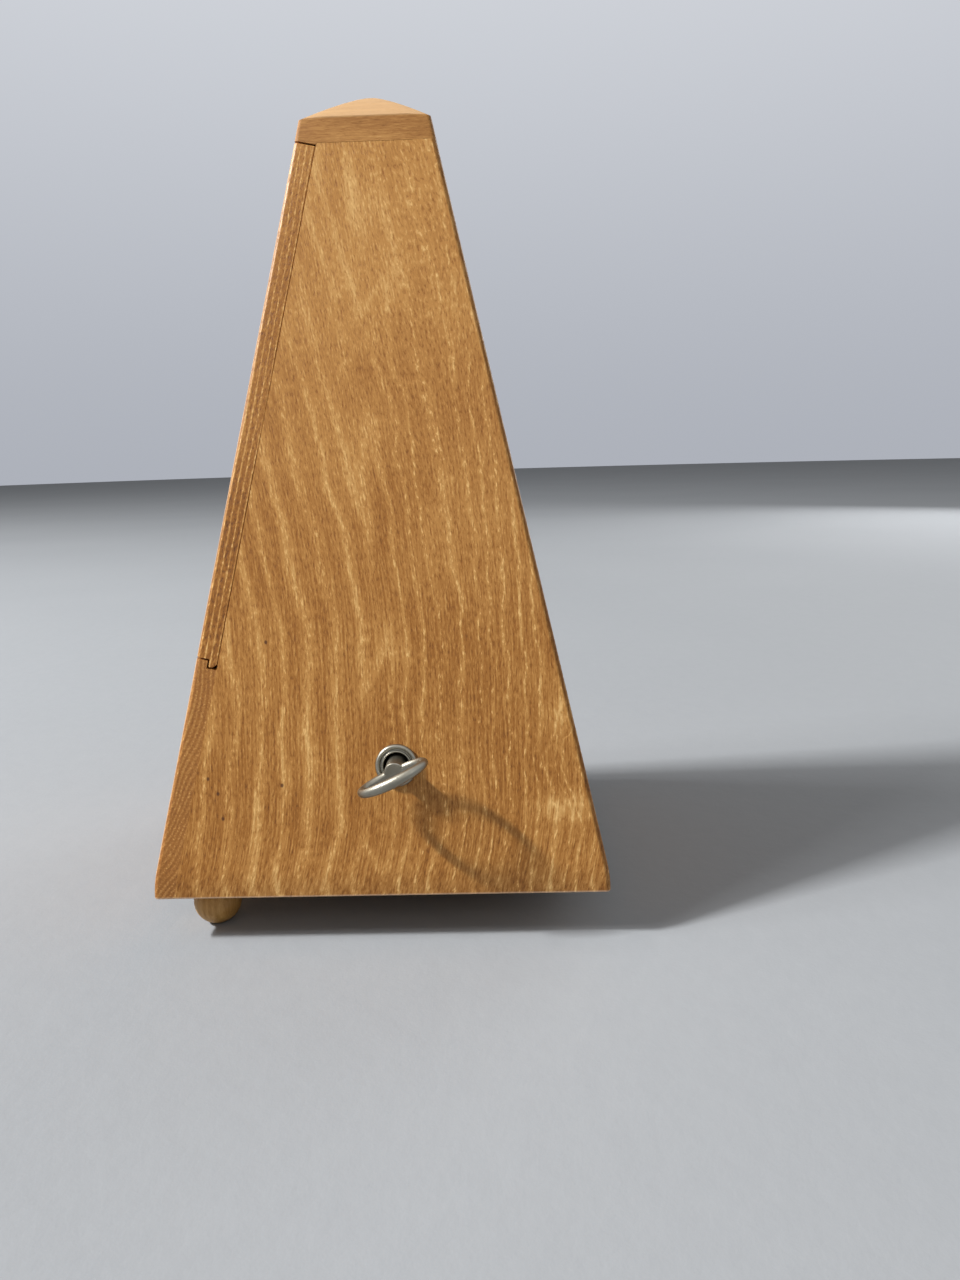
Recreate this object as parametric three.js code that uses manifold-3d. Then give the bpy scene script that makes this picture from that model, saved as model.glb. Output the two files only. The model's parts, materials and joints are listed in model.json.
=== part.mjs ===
// Wind-up metronome in a wooden pyramid case, in millimetres with +Z up.
// The origin is the centre of the base board's underside. The door faces -Y and the key +X.

import * as THREE from "three";
import { mergeVertices } from "three/addons/utils/BufferGeometryUtils.js";
import Module from "manifold-3d";

const wasm = await Module();
wasm.setup();

// ---- Case: a square pyramid whose faces sweep to upright at the foot ----
const baseWidth = 121.2;
const sweepHeight = 8;
const sweepSteps = 4;
const eaveWidth = 35.6;
const eaveHeight = 202.5;
const roofRise = 10.75;
const roofSquareness = 10;
const roofFullness = 1.2;
const roofFacets = 6;
const capSideHeight = 6;
const boardThickness = 6;
const baseThickness = 8;
const arrisRadius = 1.2;
const arrisFacets = 3;
const glueGap = 0.1;

// ---- Door and the panel below it ----
const frontPanelHeight = 63;
const doorGap = 0.4;
const tongueSetback = 3.7;
const tongueLength = 2;
const tongueEase = 1.1;

// ---- Ball feet: two at the front, one at the back ----
const footDiameter = 13;
const footHeight = 12.6;
const footWallDistance = 7.7;
const footDowelDiameter = 6;
const footDowelLength = 6;

// ---- Scale, between the side panels behind the rod ----
const scaleBoardDepth = 16.4;
const scaleBoardThickness = 3;
const scaleBoardStart = 64.2;
const scaleThickness = 0.6;
const scaleStart = 72.2;
const scaleKeeperGap = 3;
const scaleFootWidth = 30;
const scaleHeadWidth = 20;
const scalePinDiameter = 1.2;
const scalePinInset = 3;
const scalePinHead = 0.5;

// ---- Pendulum: distances up the slope from the middle of the sweep, depths in from the front face ----
const pivotRise = 57.2;
const rodDepth = 11;
const rodWidth = 2.4;
const rodThickness = 1.2;
const rodCapGap = 11;
const rodTail = 4;
const bobRise = 26.2;
const bobDiameter = 30;
const bobThickness = 9.5;
const bobSetback = 0.6;
const weightRise = 112.2;
const weightHeight = 13;
const weightHeadWidth = 14;
const weightFootWidth = 10;
const weightThickness = 7;
const weightLead = 4;
const weightSpringThickness = 0.4;
const weightSpringInset = 1;
const colletDiameter = 9;
const colletLength = 5.5;
const colletLead = 2.2;
const pendulumArborDiameter = 3;
const pendulumPivotDiameter = 1.8;
const frontBridgeDepth = 21.5;
const rearBridgeSetback = 11;
const bridgeThickness = 1.5;
const bridgeHeight = 12;
const bridgeTabHeight = 6;
const cockEnd = 3;
const fitGap = 0.1;
const runningGap = 0.3;

// ---- Escapement: a flat wheel whose teeth pass between two pallets on the pendulum's arbor ----
const escapeTeeth = 15;
const escapeRadius = 10;
const escapeRootRadius = 7.2;
const escapeThickness = 1.6;
const escapeArborClearance = 1.4;
const escapeDrop = 3.4;
const palletReach = 5.8;
const palletSpacing = 9.6;
const palletThickness = 1;
const palletWidth = 2.4;
const palletClearance = 0.6;
const palletHubDiameter = 5;
const palletHubLength = 2.4;
const escapeLean = THREE.MathUtils.degToRad(5);
const escapeLand = THREE.MathUtils.degToRad(1.5);

// ---- Key and winding work, on the axis where the key enters the side ----
const keyY = 5;
const keyZ = 33.9;
const keyBowCentre = 9.7;
const keyBowWidth = 20;
const keyBowDepth = 11.7;
const keyBowThickness = 2.2;
const keyBowSwell = 0.35;
const keyBowTurn = 25;
const keyStemDiameter = 5.3;
const keyStemLength = 20;
const keyStemSeat = 1.2;
const keySquare = 3;
const keySocketDepth = 18;
const squareEndGap = 1;
const ferruleDiameter = 11.3;
const ferruleBore = 6.8;
const ferruleTubeDiameter = 9;
const ferruleTubeLength = 2.2;
const ferruleHeight = 1.25;
const ferruleRimWidth = 1.4;
const ferruleLipWidth = 0.55;
const ferruleSoftening = 0.25;
const windingArborDiameter = 5;
const windingPivotDiameter = 4.4;
const ratchetTeeth = 14;
const ratchetRadius = 8;
const ratchetRootRadius = 6.5;
const ratchetThickness = 2;
const ratchetClearance = 0.5;
const ratchetLean = THREE.MathUtils.degToRad(3.4);
const ratchetLand = THREE.MathUtils.degToRad(2.6);
const clickThickness = 1.8;
const clickPivotDiameter = 3;
const clickDistance = 13.2;
const clickBearing = THREE.MathUtils.degToRad(140);
const clickSpan = THREE.MathUtils.degToRad(47);
const clickNoseWidth = 2.4;
const clickHubWall = 1.1;
const clickScrewRim = 1.3;
const clickScrewHead = 1.2;

// ---- Going train: barrel, intermediate arbor, escape arbor ----
const pressureAngle = THREE.MathUtils.degToRad(20);
const gearBacklash = 0.2;
const gearAddendum = 0.85;
const gearDedendum = 1.2;
const sawBack = 0.62;
const gearThickness = 1.5;
const pinionLength = 3;
const barrelTeeth = 60;
const barrelModule = 0.66;
const intermediatePinionTeeth = 10;
const intermediateTeeth = 36;
const intermediateModule = 0.5;
const escapePinionTeeth = 12;
const trainArborDiameter = 2;
const trainPivotDiameter = 1.2;
const wheelHubRadius = 3;
const wheelRimWidth = 1.3;
const wheelSpokes = 4;
const wheelSpokeWidth = 1.6;
const barrelDiameter = 35;
const barrelLength = 13;
const barrelWall = 0.8;
const springThickness = 0.6;
const springTurns = 5;
const springSteps = 14;

// ---- Movement frame: two plates standing on the base board ----
const leftPlateX = -10;
const rightPlateX = 20;
const plateThickness = 1.5;
const plateFlange = 9;
const plateMargin = 4;
const plateFront = 31;
const plateBack = 26;
const plateScrewInset = 13;
const pillarDiameter = 5;
const pillarSpigotDiameter = 3;
const pillarFootRise = 6;
const pillarHeadRise = 7;
const pillarBehindFrontBridge = 6.3;
const pillarBehindRearCock = 7.4;
const rivetHeight = 0.8;
const rivetSpread = 0.6;
const greatWheelX = 3.6;
const intermediateWheelX = -6.5;
const woodScrewHead = 5;
const woodScrewShank = 2.4;
const woodScrewLength = 6;
const woodScrewPoint = 1.5;
const woodScrewHeadHeight = 1.2;
const legEndGap = 0.4;

// ---- Rod keeper and door catch ----
const keeperRodOverlap = 7;
const keeperWire = 1;
const keeperWidth = 27.6;
const keeperDepth = 8.9;
const catchWidth = 9;
const catchThickness = 0.5;
const catchStandoff = 1.3;
const catchNoseDrop = 6;
const catchNoseHeight = 4;
const catchScrewY = -6;
const catchEnd = 3;
const strikeWidth = 14;
const strikeHeight = 9;
const strikeThickness = 0.5;
const strikeDrop = 1;

// ---- Worked out from those ----
const slope = Math.atan((baseWidth - eaveWidth) / 2 / (eaveHeight - sweepHeight / 2));
const wallAcross = boardThickness / Math.cos(slope);
const capSeam = eaveHeight - capSideHeight;

// How far a cutting shape runs past what it cuts, and the sides of a round piece.
const beyond = 10;
const roundSides = 24;

const finishes = {
  honeyWood: finish(0xb9803f, 0.45, 0),
  capWood: finish(0x9a6632, 0.45, 0),
  paleWood: finish(0xd8b98a, 0.6, 0),
  innerWood: finish(0xa5753f, 0.7, 0),
  brass: finish(0xc9a24a, 0.35, 0.9),
  steel: finish(0xa9abad, 0.3, 0.95),
  pewter: finish(0x9a988f, 0.38, 0.9),
  castIron: finish(0x55565a, 0.6, 0.7),
};

// ---- Small tools ----

function finish(color, roughness, metalness) {
  return new THREE.MeshStandardMaterial({ color, roughness, metalness });
}

// A closed three.js geometry as a solid that can be cut and joined.
function toSolid(geometry) {
  const bare = geometry.clone();
  bare.deleteAttribute("normal");
  bare.deleteAttribute("uv");
  const merged = mergeVertices(bare, 1e-4);
  return new wasm.Manifold(
    new wasm.Mesh({
      numProp: 3,
      vertProperties: merged.attributes.position.array,
      triVerts: new Uint32Array(merged.index.array),
    }),
  );
}

function toGeometry(solid) {
  const mesh = solid.getMesh();
  const geometry = new THREE.BufferGeometry();
  geometry.setAttribute("position", new THREE.BufferAttribute(mesh.vertProperties, 3));
  geometry.setIndex(new THREE.BufferAttribute(mesh.triVerts, 1));
  const flat = geometry.toNonIndexed();
  flat.computeVertexNormals();
  return flat;
}

function join(...geometries) {
  return toGeometry(geometries.map(toSolid).reduce((whole, next) => whole.add(next)));
}

function common(...geometries) {
  return toGeometry(geometries.map(toSolid).reduce((whole, next) => whole.intersect(next)));
}

function cut(blank, ...tools) {
  const solid = tools.map(toSolid).reduce((whole, next) => whole.subtract(next), toSolid(blank));
  return toGeometry(solid);
}

function add(parent, name, geometry, material) {
  const mesh = new THREE.Mesh(geometry, material);
  mesh.name = name;
  parent.add(mesh);
  return mesh;
}

function outline(points) {
  return new THREE.Shape(points.map(([x, y]) => new THREE.Vector2(x, y)));
}

// An outline in XY, from one Z to another.
function extrude(shape, from, to) {
  return new THREE.ExtrudeGeometry(shape, {
    depth: to - from,
    bevelEnabled: false,
    curveSegments: 6,
  }).translate(0, 0, from);
}

// An outline of [x, z] points, from one Y to another.
function extrudeY(points, from, to) {
  return extrude(outline(points), -to, -from).rotateX(Math.PI / 2);
}

// An outline of [y, z] points, from one X to another.
function extrudeX(points, from, to) {
  const turn = new THREE.Matrix4().makeBasis(
    new THREE.Vector3(0, 1, 0),
    new THREE.Vector3(0, 0, 1),
    new THREE.Vector3(1, 0, 0),
  );
  return extrude(outline(points), from, to).applyMatrix4(turn);
}

function block(x0, x1, y0, y1, z0, z1) {
  return new THREE.BoxGeometry(x1 - x0, y1 - y0, z1 - z0).translate(
    (x0 + x1) / 2,
    (y0 + y1) / 2,
    (z0 + z1) / 2,
  );
}

// A cylinder along Z.
function round(diameter, from, to, sides = roundSides) {
  return new THREE.CylinderGeometry(diameter / 2, diameter / 2, to - from, sides)
    .rotateX(Math.PI / 2)
    .translate(0, 0, (from + to) / 2);
}

// A profile of [radius, height] points turned about Z. It starts and ends on the axis, or closes on itself.
function turned(profile, sides = roundSides) {
  const points = profile.map(([radius, height]) => new THREE.Vector2(radius, height));
  return new THREE.LatheGeometry(points, sides).rotateX(Math.PI / 2);
}

// Rings of as many [x, y, z] points each, skinned from the first to the last. The first ring's end is flat,
// and so is the last's, or the rings close on themselves.
function skin(rings, closed = false) {
  const count = rings[0].length;
  const positions = rings.flat(2);
  const index = [];
  const steps = closed ? rings.length : rings.length - 1;
  for (let i = 0; i < steps; i++) {
    const low = i * count;
    const high = ((i + 1) % rings.length) * count;
    for (let j = 0; j < count; j++) {
      const k = (j + 1) % count;
      index.push(low + j, low + k, high + k, low + j, high + k, high + j);
    }
  }
  if (!closed) {
    const last = (rings.length - 1) * count;
    for (let j = 1; j < count - 1; j++) {
      index.push(0, j + 1, j);
      index.push(last, last + j, last + j + 1);
    }
  }
  const geometry = new THREE.BufferGeometry();
  geometry.setAttribute("position", new THREE.Float32BufferAttribute(positions, 3));
  geometry.setIndex(index);
  return geometry;
}

// ---- Where the case's faces lie ----

// Half the outside width at a height, on the plane of the upper faces.
function halfWidth(z) {
  return baseWidth / 2 - (z - sweepHeight / 2) * Math.tan(slope);
}

// The half width of the case's inside at a height.
function insideHalfWidth(z) {
  return halfWidth(z) - wallAcross;
}

// A point of the case's middle plane as [y, z], from its depth behind the front face and its rise up
// that face.
function onSlope(depth, rise) {
  return [
    -baseWidth / 2 + rise * Math.sin(slope) + depth * Math.cos(slope),
    sweepHeight / 2 + rise * Math.cos(slope) - depth * Math.sin(slope),
  ];
}

// The rise at which a depth reaches a height.
function riseAt(depth, z) {
  return (z - sweepHeight / 2 + depth * Math.sin(slope)) / Math.cos(slope);
}

// One square section with rounded corners, as a ring of [x, y] points.
function roundedSquare(half) {
  const ring = [];
  for (let corner = 0; corner < 4; corner++) {
    const [cx, cy] = [[1, 1], [-1, 1], [-1, -1], [1, -1]][corner];
    for (let step = 0; step <= arrisFacets; step++) {
      const angle = (Math.PI / 2) * (corner + step / arrisFacets);
      ring.push([
        cx * (half - arrisRadius) + arrisRadius * Math.cos(angle),
        cy * (half - arrisRadius) + arrisRadius * Math.sin(angle),
      ]);
    }
  }
  return ring;
}

function level(half, z) {
  return roundedSquare(half).map(([x, y]) => [x, y, z]);
}

// The foot's rings: a parabola that leaves the base upright and meets the slope.
function sweepRings() {
  return Array.from({ length: sweepSteps + 1 }, (_, i) => {
    const z = (sweepHeight * i) / sweepSteps;
    const rest = sweepHeight - z;
    const half = halfWidth(sweepHeight) + Math.tan(slope) * (rest - rest ** 2 / (2 * sweepHeight));
    return level(half, z);
  });
}

// The whole outside of the case below the roof.
function envelope(from, to) {
  const rings = from < sweepHeight ? sweepRings() : [level(halfWidth(from), from)];
  return skin([...rings, level(halfWidth(to), to)]);
}

// The room between the side panels, with the same gap at both.
function betweenSides(gap) {
  const low = -beyond;
  const high = eaveHeight + beyond;
  return extrudeY(
    [
      [-insideHalfWidth(low) + gap, low],
      [insideHalfWidth(low) - gap, low],
      [insideHalfWidth(high) - gap, high],
      [-insideHalfWidth(high) + gap, high],
    ],
    -baseWidth,
    baseWidth,
  );
}

// All that lies nearer to the front face than a depth.
function inFrontOf(depth) {
  const low = riseAt(depth, -beyond);
  const high = riseAt(depth, eaveHeight + beyond);
  return extrudeX(
    [onSlope(-4 * beyond, low), onSlope(depth, low), onSlope(depth, high), onSlope(-4 * beyond, high)],
    -baseWidth,
    baseWidth,
  );
}

// All that lies behind the inner face of the back panel, or a gap before it.
function behindBack(gap) {
  return inFrontOf(boardThickness + gap).rotateZ(Math.PI);
}

// ---- Case boards ----

function sidePanel(side) {
  const top = capSeam - glueGap;
  const points = [
    [side * insideHalfWidth(0), 0],
    [side * baseWidth, 0],
    [side * baseWidth, top],
    [side * insideHalfWidth(top), top],
  ];
  const blank = extrudeY(side > 0 ? points : points.reverse(), -baseWidth, baseWidth);
  return cut(common(envelope(0, eaveHeight), blank), inFrontOf(boardThickness + glueGap));
}

function keyHole() {
  return onKeyFace(round(ferruleTubeDiameter + 2 * fitGap, -4 * boardThickness, boardThickness));
}

// Takes a shape round Z to the right face, with Z square to it where the key's axis comes out.
function onKeyFace(geometry) {
  return geometry.rotateY(Math.PI / 2 - slope).translate(halfWidth(keyZ), keyY, keyZ);
}

function backPanel() {
  const top = block(-baseWidth, baseWidth, -baseWidth, baseWidth, capSeam - glueGap, eaveHeight + 2 * beyond);
  const room = common(envelope(0, eaveHeight), behindBack(0), betweenSides(glueGap));
  return cut(room, top);
}

const doorRise = riseAt(0, frontPanelHeight);
const doorTop = riseAt(boardThickness / 2, capSeam) - doorGap / 2;

function doorBoard() {
  const foot = doorRise - tongueLength;
  return common(
    envelope(0, eaveHeight),
    extrudeX(
      [
        onSlope(-beyond, doorRise),
        onSlope(tongueSetback, doorRise),
        onSlope(tongueSetback, foot),
        onSlope(boardThickness - tongueEase, foot),
        onSlope(boardThickness, foot + tongueEase),
        onSlope(boardThickness, doorTop),
        onSlope(-beyond, doorTop),
      ],
      -baseWidth,
      baseWidth,
    ),
  );
}

function frontPanel() {
  const lip = doorRise - doorGap;
  const shoulder = lip - tongueLength;
  const rebate = tongueSetback - doorGap;
  return common(
    envelope(0, eaveHeight),
    extrudeX(
      [
        onSlope(-beyond, riseAt(-beyond, 0)),
        onSlope(boardThickness, riseAt(boardThickness, 0)),
        onSlope(boardThickness, shoulder),
        onSlope(rebate, shoulder),
        onSlope(rebate, lip),
        onSlope(-beyond, lip),
      ],
      -baseWidth,
      baseWidth,
    ),
  );
}

function baseBoard() {
  const half = baseWidth / 2;
  const blank = block(-half, half, -half, half, 0, baseThickness);
  const board = cut(
    common(blank, betweenSides(glueGap)),
    inFrontOf(boardThickness + glueGap),
    behindBack(glueGap),
  );
  const dowelHoles = footPlaces.map(([x, y]) =>
    round(footDowelDiameter + 2 * fitGap, -beyond, footDowelLength + fitGap).translate(x, y, 0),
  );
  const screwHoles = screwPlaces().map(([x, y]) =>
    screwHole(baseThickness - woodScrewLength, baseThickness + beyond).translate(x, y, 0),
  );
  return cut(board, ...dowelHoles, ...screwHoles);
}

// A hole for a wood screw's shank, along Z.
function screwHole(from, to) {
  return round(woodScrewShank + 2 * fitGap, from, to, 12);
}

// The cap's height over a point of its outline, or nearer to the middle by a share.
function roofHeight([x, y], share) {
  const half = eaveWidth / 2;
  const sum = (Math.abs(x) / half) ** roofSquareness + (Math.abs(y) / half) ** roofSquareness;
  const outwards = (sum / 2) ** (1 / roofSquareness);
  return eaveHeight + roofRise * (1 - (share * outwards) ** roofFullness);
}

function cap() {
  const edge = subdivided(roundedSquare(eaveWidth / 2), roofFacets);
  const low = capSeam - boardThickness;
  const foot = subdivided(roundedSquare(halfWidth(low)), roofFacets);
  const rings = [foot.map(([x, y]) => [x, y, low])];
  for (const share of [1, 0.8, 0.6, 0.4, 0.2, 0.08]) {
    rings.push(edge.map(([x, y]) => [share * x, share * y, roofHeight([x, y], share)]));
  }
  const underSides = cut(
    block(-baseWidth, baseWidth, -baseWidth, baseWidth, 0, capSeam),
    inFrontOf(boardThickness),
  );
  const underFront = extrudeX(
    [
      onSlope(-beyond, doorTop - 2 * boardThickness),
      onSlope(2 * boardThickness, doorTop - 2 * boardThickness),
      onSlope(2 * boardThickness, doorTop + doorGap),
      onSlope(-beyond, doorTop + doorGap),
    ],
    -baseWidth,
    baseWidth,
  );
  return cut(skin(rings), underSides, common(underFront, inFrontOf(boardThickness)));
}

// A ring with each long side in that many pieces.
function subdivided(ring, pieces) {
  const corner = arrisFacets + 1;
  return ring.flatMap(([x, y], i) => {
    if (i % corner !== corner - 1) return [[x, y]];
    const [nx, ny] = ring[(i + 1) % ring.length];
    return Array.from({ length: pieces }, (_, k) => [
      x + ((nx - x) * k) / pieces,
      y + ((ny - y) * k) / pieces,
    ]);
  });
}

// ---- Feet ----

const footOut = insideHalfWidth(0) - footWallDistance;
const footPlaces = [[-footOut, -footOut], [footOut, -footOut], [0, footOut]];

function foot() {
  const radius = footDiameter / 2;
  const middle = -footHeight / 2;
  const flat = Math.acos(footHeight / footDiameter);
  const profile = [[0, -footHeight]];
  const bands = 8;
  for (let band = 0; band <= bands; band++) {
    const angle = flat + ((Math.PI - 2 * flat) * band) / bands;
    profile.push([radius * Math.sin(angle), middle - radius * Math.cos(angle)]);
  }
  profile.push([0, 0]);
  return join(turned(profile, 20), round(footDowelDiameter, -radius, footDowelLength, 12));
}

// ---- Wheels ----

// Teeth with involute flanks, as [x, y] points, with a tooth centred on the angle given.
function gearPoints(teeth, module, phase = 0) {
  const pitch = (teeth * module) / 2;
  const base = pitch * Math.cos(pressureAngle);
  const tip = pitch + gearAddendum * module;
  const root = pitch - gearDedendum * module;
  const spread = (radius) => {
    const angle = Math.acos(Math.min(1, base / radius));
    return Math.tan(angle) - angle;
  };
  const halfTooth = Math.PI / 2 / teeth - gearBacklash / 2 / pitch;
  const halfAt = (radius) => halfTooth + spread(pitch) - spread(Math.max(radius, base));
  const points = [];
  for (let tooth = 0; tooth < teeth; tooth++) {
    const middle = phase + (2 * Math.PI * tooth) / teeth;
    const flank = [root, pitch, tip].map((radius) => [radius, halfAt(radius)]);
    for (const [radius, half] of flank) points.push(polar(radius, middle - half));
    for (const [radius, half] of flank.reverse()) points.push(polar(radius, middle + half));
  }
  return points;
}

// Saw teeth that lean forward, as [x, y] points.
function sawPoints(teeth, tip, root, lean, land) {
  const points = [];
  const pitch = (2 * Math.PI) / teeth;
  for (let tooth = 0; tooth < teeth; tooth++) {
    const start = tooth * pitch;
    points.push(polar(root, start), polar(tip, start + lean), polar(tip, start + lean + land));
    points.push(polar(root, start + sawBack * pitch));
  }
  return points;
}

function polar(radius, angle) {
  return [radius * Math.cos(angle), radius * Math.sin(angle)];
}

// A wheel on a train arbor: its web is cut away to spokes between the hub and the inside of the rim.
function crossedOut(wheel, rim) {
  const windows = [];
  const inner = Math.asin(wheelSpokeWidth / 2 / wheelHubRadius);
  const outer = Math.asin(wheelSpokeWidth / 2 / rim);
  for (let spoke = 0; spoke < wheelSpokes; spoke++) {
    const start = (2 * Math.PI * spoke) / wheelSpokes;
    const end = (2 * Math.PI * (spoke + 1)) / wheelSpokes;
    const shape = new THREE.Shape();
    shape.absarc(0, 0, rim, start + outer, end - outer, false);
    shape.absarc(0, 0, wheelHubRadius, end - inner, start + inner, true);
    windows.push(extrude(shape, -beyond, beyond));
  }
  return cut(wheel, ...windows, round(trainArborDiameter + 2 * fitGap, -beyond, beyond, 16));
}

// ---- Movement: axes run across the case. Local X goes to the back, local Y up and local Z to the key ----

const greatDistance = (barrelModule * (barrelTeeth + intermediatePinionTeeth)) / 2;
const intermediateDistance = (intermediateModule * (intermediateTeeth + escapePinionTeeth)) / 2;
const barrelAxis = [keyY, keyZ];
const greatWheelTip = barrelModule * (barrelTeeth / 2 + gearAddendum);
const escapeRise = pivotRise - escapeDrop - escapeRadius;
const escapeDistance = greatWheelTip + escapeArborClearance + trainArborDiameter / 2;
const escapeDepth = depthInFront(barrelAxis, escapeDistance, escapeRise);
const rearBridgeDepth = escapeDepth + rearBridgeSetback;
const escapeAxis = onSlope(escapeDepth, escapeRise);
const intermediateAxis = meetingPoint(barrelAxis, greatDistance, escapeAxis, intermediateDistance);

// The point at one distance from a and another from b, below the line between them when b lies in front of a.
function meetingPoint(a, fromA, b, fromB) {
  const gap = Math.hypot(b[0] - a[0], b[1] - a[1]);
  const [ux, uy] = [(b[0] - a[0]) / gap, (b[1] - a[1]) / gap];
  const along = (fromA ** 2 - fromB ** 2 + gap ** 2) / (2 * gap);
  const aside = Math.sqrt(fromA ** 2 - along ** 2);
  return [a[0] + along * ux - aside * uy, a[1] + along * uy + aside * ux];
}

// The depth at which a rise up the slope is at a distance from an axis, on the axis' front side.
function depthInFront([y, z], distance, rise) {
  const [startY, startZ] = onSlope(0, rise);
  const along = (y - startY) * Math.cos(slope) - (z - startZ) * Math.sin(slope);
  const aside = (y - startY) * Math.sin(slope) + (z - startZ) * Math.cos(slope);
  return along - Math.sqrt(distance ** 2 - aside ** 2);
}

// The angle at which one axis sees another.
function bearing(from, to) {
  return Math.atan2(to[1] - from[1], to[0] - from[0]);
}

const [frontBridgeY, frontBridgeZ] = onSlope(frontBridgeDepth, pivotRise);
const [rearCockY, rearCockZ] = onSlope(rearBridgeDepth, pivotRise);
const frontPillarTop = [frontBridgeY + pillarBehindFrontBridge, frontBridgeZ + pillarHeadRise];
const backPillarTop = [rearCockY + pillarBehindRearCock, rearCockZ + pillarHeadRise];
const pillarPlaces = [
  [plateMargin - plateFront, baseThickness + pillarFootRise],
  [plateBack - plateMargin, baseThickness + pillarFootRise],
  backPillarTop,
  frontPillarTop,
];
const plateOutline = [
  [-plateFront, baseThickness],
  [plateBack, baseThickness],
  [plateBack, keyZ + 2 * plateMargin],
  [backPillarTop[0] + plateMargin, backPillarTop[1]],
  [backPillarTop[0], backPillarTop[1] + plateMargin],
  [frontPillarTop[0] - 0.7 * plateMargin, frontPillarTop[1] + 0.7 * plateMargin],
  [-plateFront, frontBridgeZ + bridgeTabHeight / 2],
];

function screwPlaces() {
  const out = plateThickness + plateFlange / 2;
  const places = [plateScrewInset - plateFront, plateBack - plateScrewInset];
  return [leftPlateX - out, rightPlateX + out].flatMap((x) => places.map((y) => [x, y]));
}

// A bridge's slot in a plate, or its tab, as [y, z] points.
function tabOutline(depth, gap) {
  const low = pivotRise - bridgeTabHeight / 2 - gap;
  const high = pivotRise + bridgeTabHeight / 2 + gap;
  const [near, far] = [depth - gap, depth + bridgeThickness + gap];
  return outline([onSlope(near, low), onSlope(far, low), onSlope(far, high), onSlope(near, high)]);
}

function movementPlate(side) {
  const inner = side > 0 ? rightPlateX : leftPlateX;
  const outer = inner + side * plateThickness;
  const edge = outer + side * plateFlange;
  const slab = (shape, a, b) => extrude(outline(shape), Math.min(a, b), Math.max(a, b));
  const flange = [
    [-plateFront, baseThickness],
    [plateBack, baseThickness],
    [plateBack, baseThickness + plateThickness],
    [-plateFront, baseThickness + plateThickness],
  ];
  const blank = join(slab(plateOutline, inner, outer), slab(flange, outer, edge));
  const slot = (depth) => extrude(tabOutline(depth, fitGap), inner - beyond, inner + beyond);
  const screws = screwPlaces()
    .filter(([x]) => x * side > 0)
    .map(([x, y]) => screwHole(-beyond, beyond).rotateX(-Math.PI / 2).translate(y, baseThickness, x));
  return cut(
    blank,
    hole(windingPivotDiameter, barrelAxis),
    hole(trainPivotDiameter, intermediateAxis),
    hole(trainPivotDiameter, escapeAxis),
    ...pillarPlaces.map((place) => hole(pillarSpigotDiameter, place)),
    slot(frontBridgeDepth),
    side < 0 ? slot(rearBridgeDepth) : hole(clickPivotDiameter, clickPivot),
    ...screws,
  );
}

// A bearing or fixing hole right through the movement, on an axis that runs across the case.
function hole(diameter, [y, z]) {
  return round(diameter + 2 * fitGap, -baseWidth, baseWidth, 16).translate(y, z, 0);
}

function pillar() {
  const shoulder = (end) => [[pillarDiameter / 2, end], [pillarSpigotDiameter / 2, end]];
  const left = leftPlateX + glueGap;
  const right = rightPlateX - glueGap;
  const rivet = (plateFace, out) => [
    [pillarSpigotDiameter / 2, plateFace + out * glueGap],
    [pillarSpigotDiameter / 2 + rivetSpread, plateFace + out * glueGap],
    [pillarSpigotDiameter / 2, plateFace + out * rivetHeight],
    [0, plateFace + out * rivetHeight],
  ];
  return turned(
    [
      ...rivet(leftPlateX - plateThickness, -1).reverse(),
      ...shoulder(left).reverse(),
      ...shoulder(right),
      ...rivet(rightPlateX + plateThickness, 1),
    ],
    10,
  );
}

// ---- Arbors and wheels, round local Z ----

// A stepped arbor between the plates, whose pivots stand in their holes.
function trainArbor() {
  return turned(
    [
      [0, leftPlateX - plateThickness],
      [trainPivotDiameter / 2, leftPlateX - plateThickness],
      [trainPivotDiameter / 2, leftPlateX + runningGap],
      [trainArborDiameter / 2, leftPlateX + runningGap],
      [trainArborDiameter / 2, rightPlateX - runningGap],
      [trainPivotDiameter / 2, rightPlateX - runningGap],
      [trainPivotDiameter / 2, rightPlateX + plateThickness],
      [0, rightPlateX + plateThickness],
    ],
    16,
  );
}

function pinionArbor(teeth, module, middle, phase) {
  const half = pinionLength / 2;
  const leaves = extrude(outline(gearPoints(teeth, module, phase)), middle - half, middle + half);
  return join(trainArbor(), leaves);
}

function barrelWheel() {
  const disc = extrude(outline(gearPoints(barrelTeeth, barrelModule)), 0, gearThickness);
  const bore = round(windingArborDiameter + 2 * runningGap, -beyond, beyond);
  return cut(disc, bore).translate(0, 0, greatWheelX);
}

function barrelDrum() {
  const outer = barrelDiameter / 2;
  const bore = windingArborDiameter / 2 + runningGap;
  const near = greatWheelX + gearThickness + fitGap;
  const far = near + barrelLength;
  return turned(
    [
      [outer, near],
      [outer, far],
      [bore, far],
      [bore, far - barrelWall],
      [outer - barrelWall, far - barrelWall],
      [outer - barrelWall, near],
      [outer, near],
    ],
    30,
  );
}

// A strip wound from the arbor out to the drum's wall.
function mainspring() {
  const inner = windingArborDiameter / 2 + 2 * runningGap;
  const outer = barrelDiameter / 2 - barrelWall - springThickness - runningGap;
  const steps = springTurns * springSteps;
  const edge = (offset) =>
    Array.from({ length: steps + 1 }, (_, i) =>
      polar(inner + ((outer - inner) * i) / steps + offset, (2 * Math.PI * springTurns * i) / steps),
    );
  const near = greatWheelX + gearThickness + fitGap + runningGap;
  const far = greatWheelX + gearThickness + fitGap + barrelLength - barrelWall - runningGap;
  return extrude(outline([...edge(springThickness), ...edge(0).reverse()]), near, far);
}

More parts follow.
